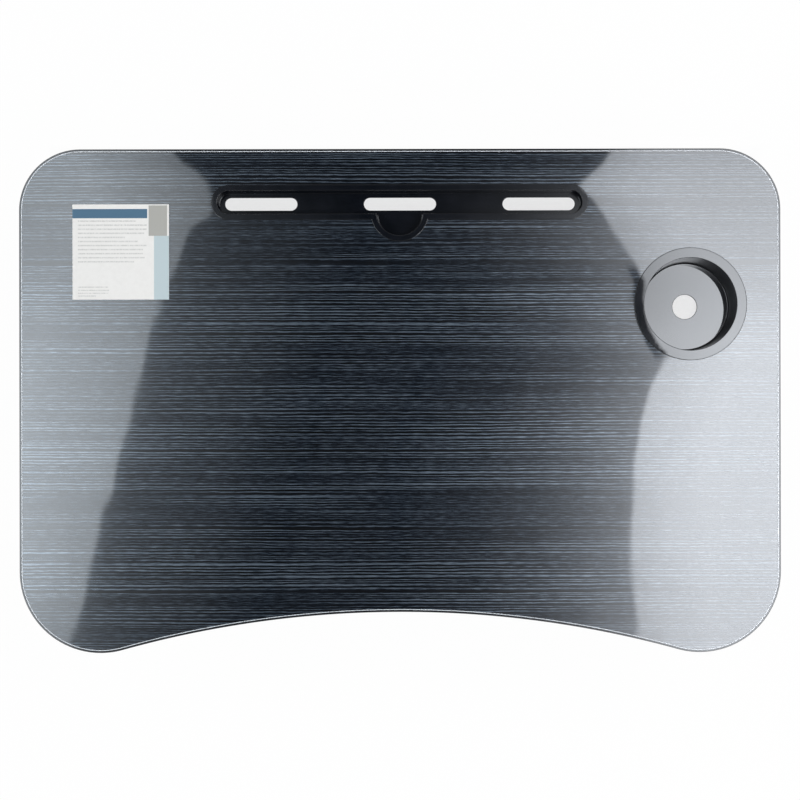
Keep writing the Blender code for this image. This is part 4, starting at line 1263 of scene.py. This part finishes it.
def make_floor():
    """A pale floor that takes the object's shadow, with painted shade under the table, and is
    white where it is open.
    """
    mesh = bpy.data.meshes.new("floor")
    half = FLOOR_SIZE / 2
    corners = [(-half, -half, 0), (half, -half, 0), (half, half, 0), (-half, half, 0)]
    mesh.from_pydata(corners, [], [(0, 1, 2, 3)])
    floor = placed("floor", mesh)
    floor.location.z = FLOOR_LEVEL
    material = bpy.data.materials.new("floor")
    nodes = Nodes(material)
    place = nodes.position()
    across = nodes.maths("ABSOLUTE", nodes.axis(place, "X"))
    back = nodes.maths("SUBTRACT", nodes.axis(place, "Y"), PAINTED_SHADE_Y)
    past_x = nodes.maths("SUBTRACT", across, PAINTED_SHADE_HALF[0])
    past_y = nodes.maths("SUBTRACT", nodes.maths("ABSOLUTE", back), PAINTED_SHADE_HALF[1])
    past = nodes.maths("MAXIMUM", past_x, past_y)
    # Painted shade: the floor's white glow is weaker in a rectangle under the table
    share = nodes.between(past, 0.0, FLOOR_GLOW_FADE, FLOOR_GLOW_IN_PAINTED_SHADE, FLOOR_GLOW_OPEN)
    rays = [nodes.node("LightPath", {}, f"Is {kind} Ray") for kind in WHITE_FLOOR_RAYS]
    seen = nodes.maths("MAXIMUM", nodes.maths("MAXIMUM", rays[0], rays[1]), rays[2])
    diffuse = nodes.node("BsdfDiffuse", {"Color": (*FLOOR_COLOUR, 1)})
    glow = nodes.node("Emission", {"Strength": 1.0})
    share = nodes.times(share, seen)
    nodes.show(nodes.node("MixShader", {0: share, 1: diffuse, 2: glow}))
    mesh.materials.append(material)


def make_camera():
    data = bpy.data.cameras.new("camera")
    data.sensor_width = SENSOR_WIDTH_MM
    picture_width = PICTURE_WIDTH_PX * PHOTO_SCALE
    data.lens = SENSOR_WIDTH_MM * CAMERA_HEIGHT / picture_width
    aim = Vector((-CAMERA_RIGHT, PICTURE_CENTRE_BACK + CAMERA_FORWARD, 0))
    aim.rotate(Euler((0, 0, -CAMERA_TURN)))
    data.shift_x = aim.x / picture_width
    data.shift_y = aim.y / picture_width
    data.dof.use_dof = False
    camera = placed("camera", data)
    camera.location = (CAMERA_RIGHT, -CAMERA_FORWARD, TOP + CAMERA_HEIGHT)
    camera.rotation_euler.z = CAMERA_TURN
    bpy.context.scene.camera = camera


black_moulding = moulding_look(
    "black_moulding", MOULDING_ROUGHNESS, dark=(0.003, 0.004, 0.006), light=(0.006, 0.007, 0.010)
)
# A lighter, rougher copy of the black moulding for the bowl's wall: satin gloss, with painted
# light in its colour
satin_painted_light_moulding = moulding_look(
    "satin_painted_light_moulding", CUP_WALL_ROUGHNESS, dark=(0.036, 0.038, 0.042), light=(0.044, 0.046, 0.050)
)
painted_steel = paint_look()
zinc_steel = zinc_look()
white_nylon = nylon_look(
    "white_nylon", dark=(0.55, 0.54, 0.50), light=(0.66, 0.65, 0.61), roughness=0.42
)
black_nylon = nylon_look(
    "black_nylon", dark=(0.014, 0.014, 0.016), light=(0.022, 0.022, 0.024), roughness=0.45
)
black_rubber = rubber_look()

make_camera()
make_laminate()
make_edge_band()
make_slot_tray()
make_cup_holder()
make_hinges()
make_legs()
make_clips()
make_screws()
dress_cad_node("board_core", core_look())
dress_cad_node("backing_sheet", backing_look())
make_label()
make_lamp("left_softbox", *LEFT_LAMP)
make_lamp("right_softbox", *RIGHT_LAMP)
make_world()
make_floor()

bpy.context.scene.view_settings.view_transform = "Standard"
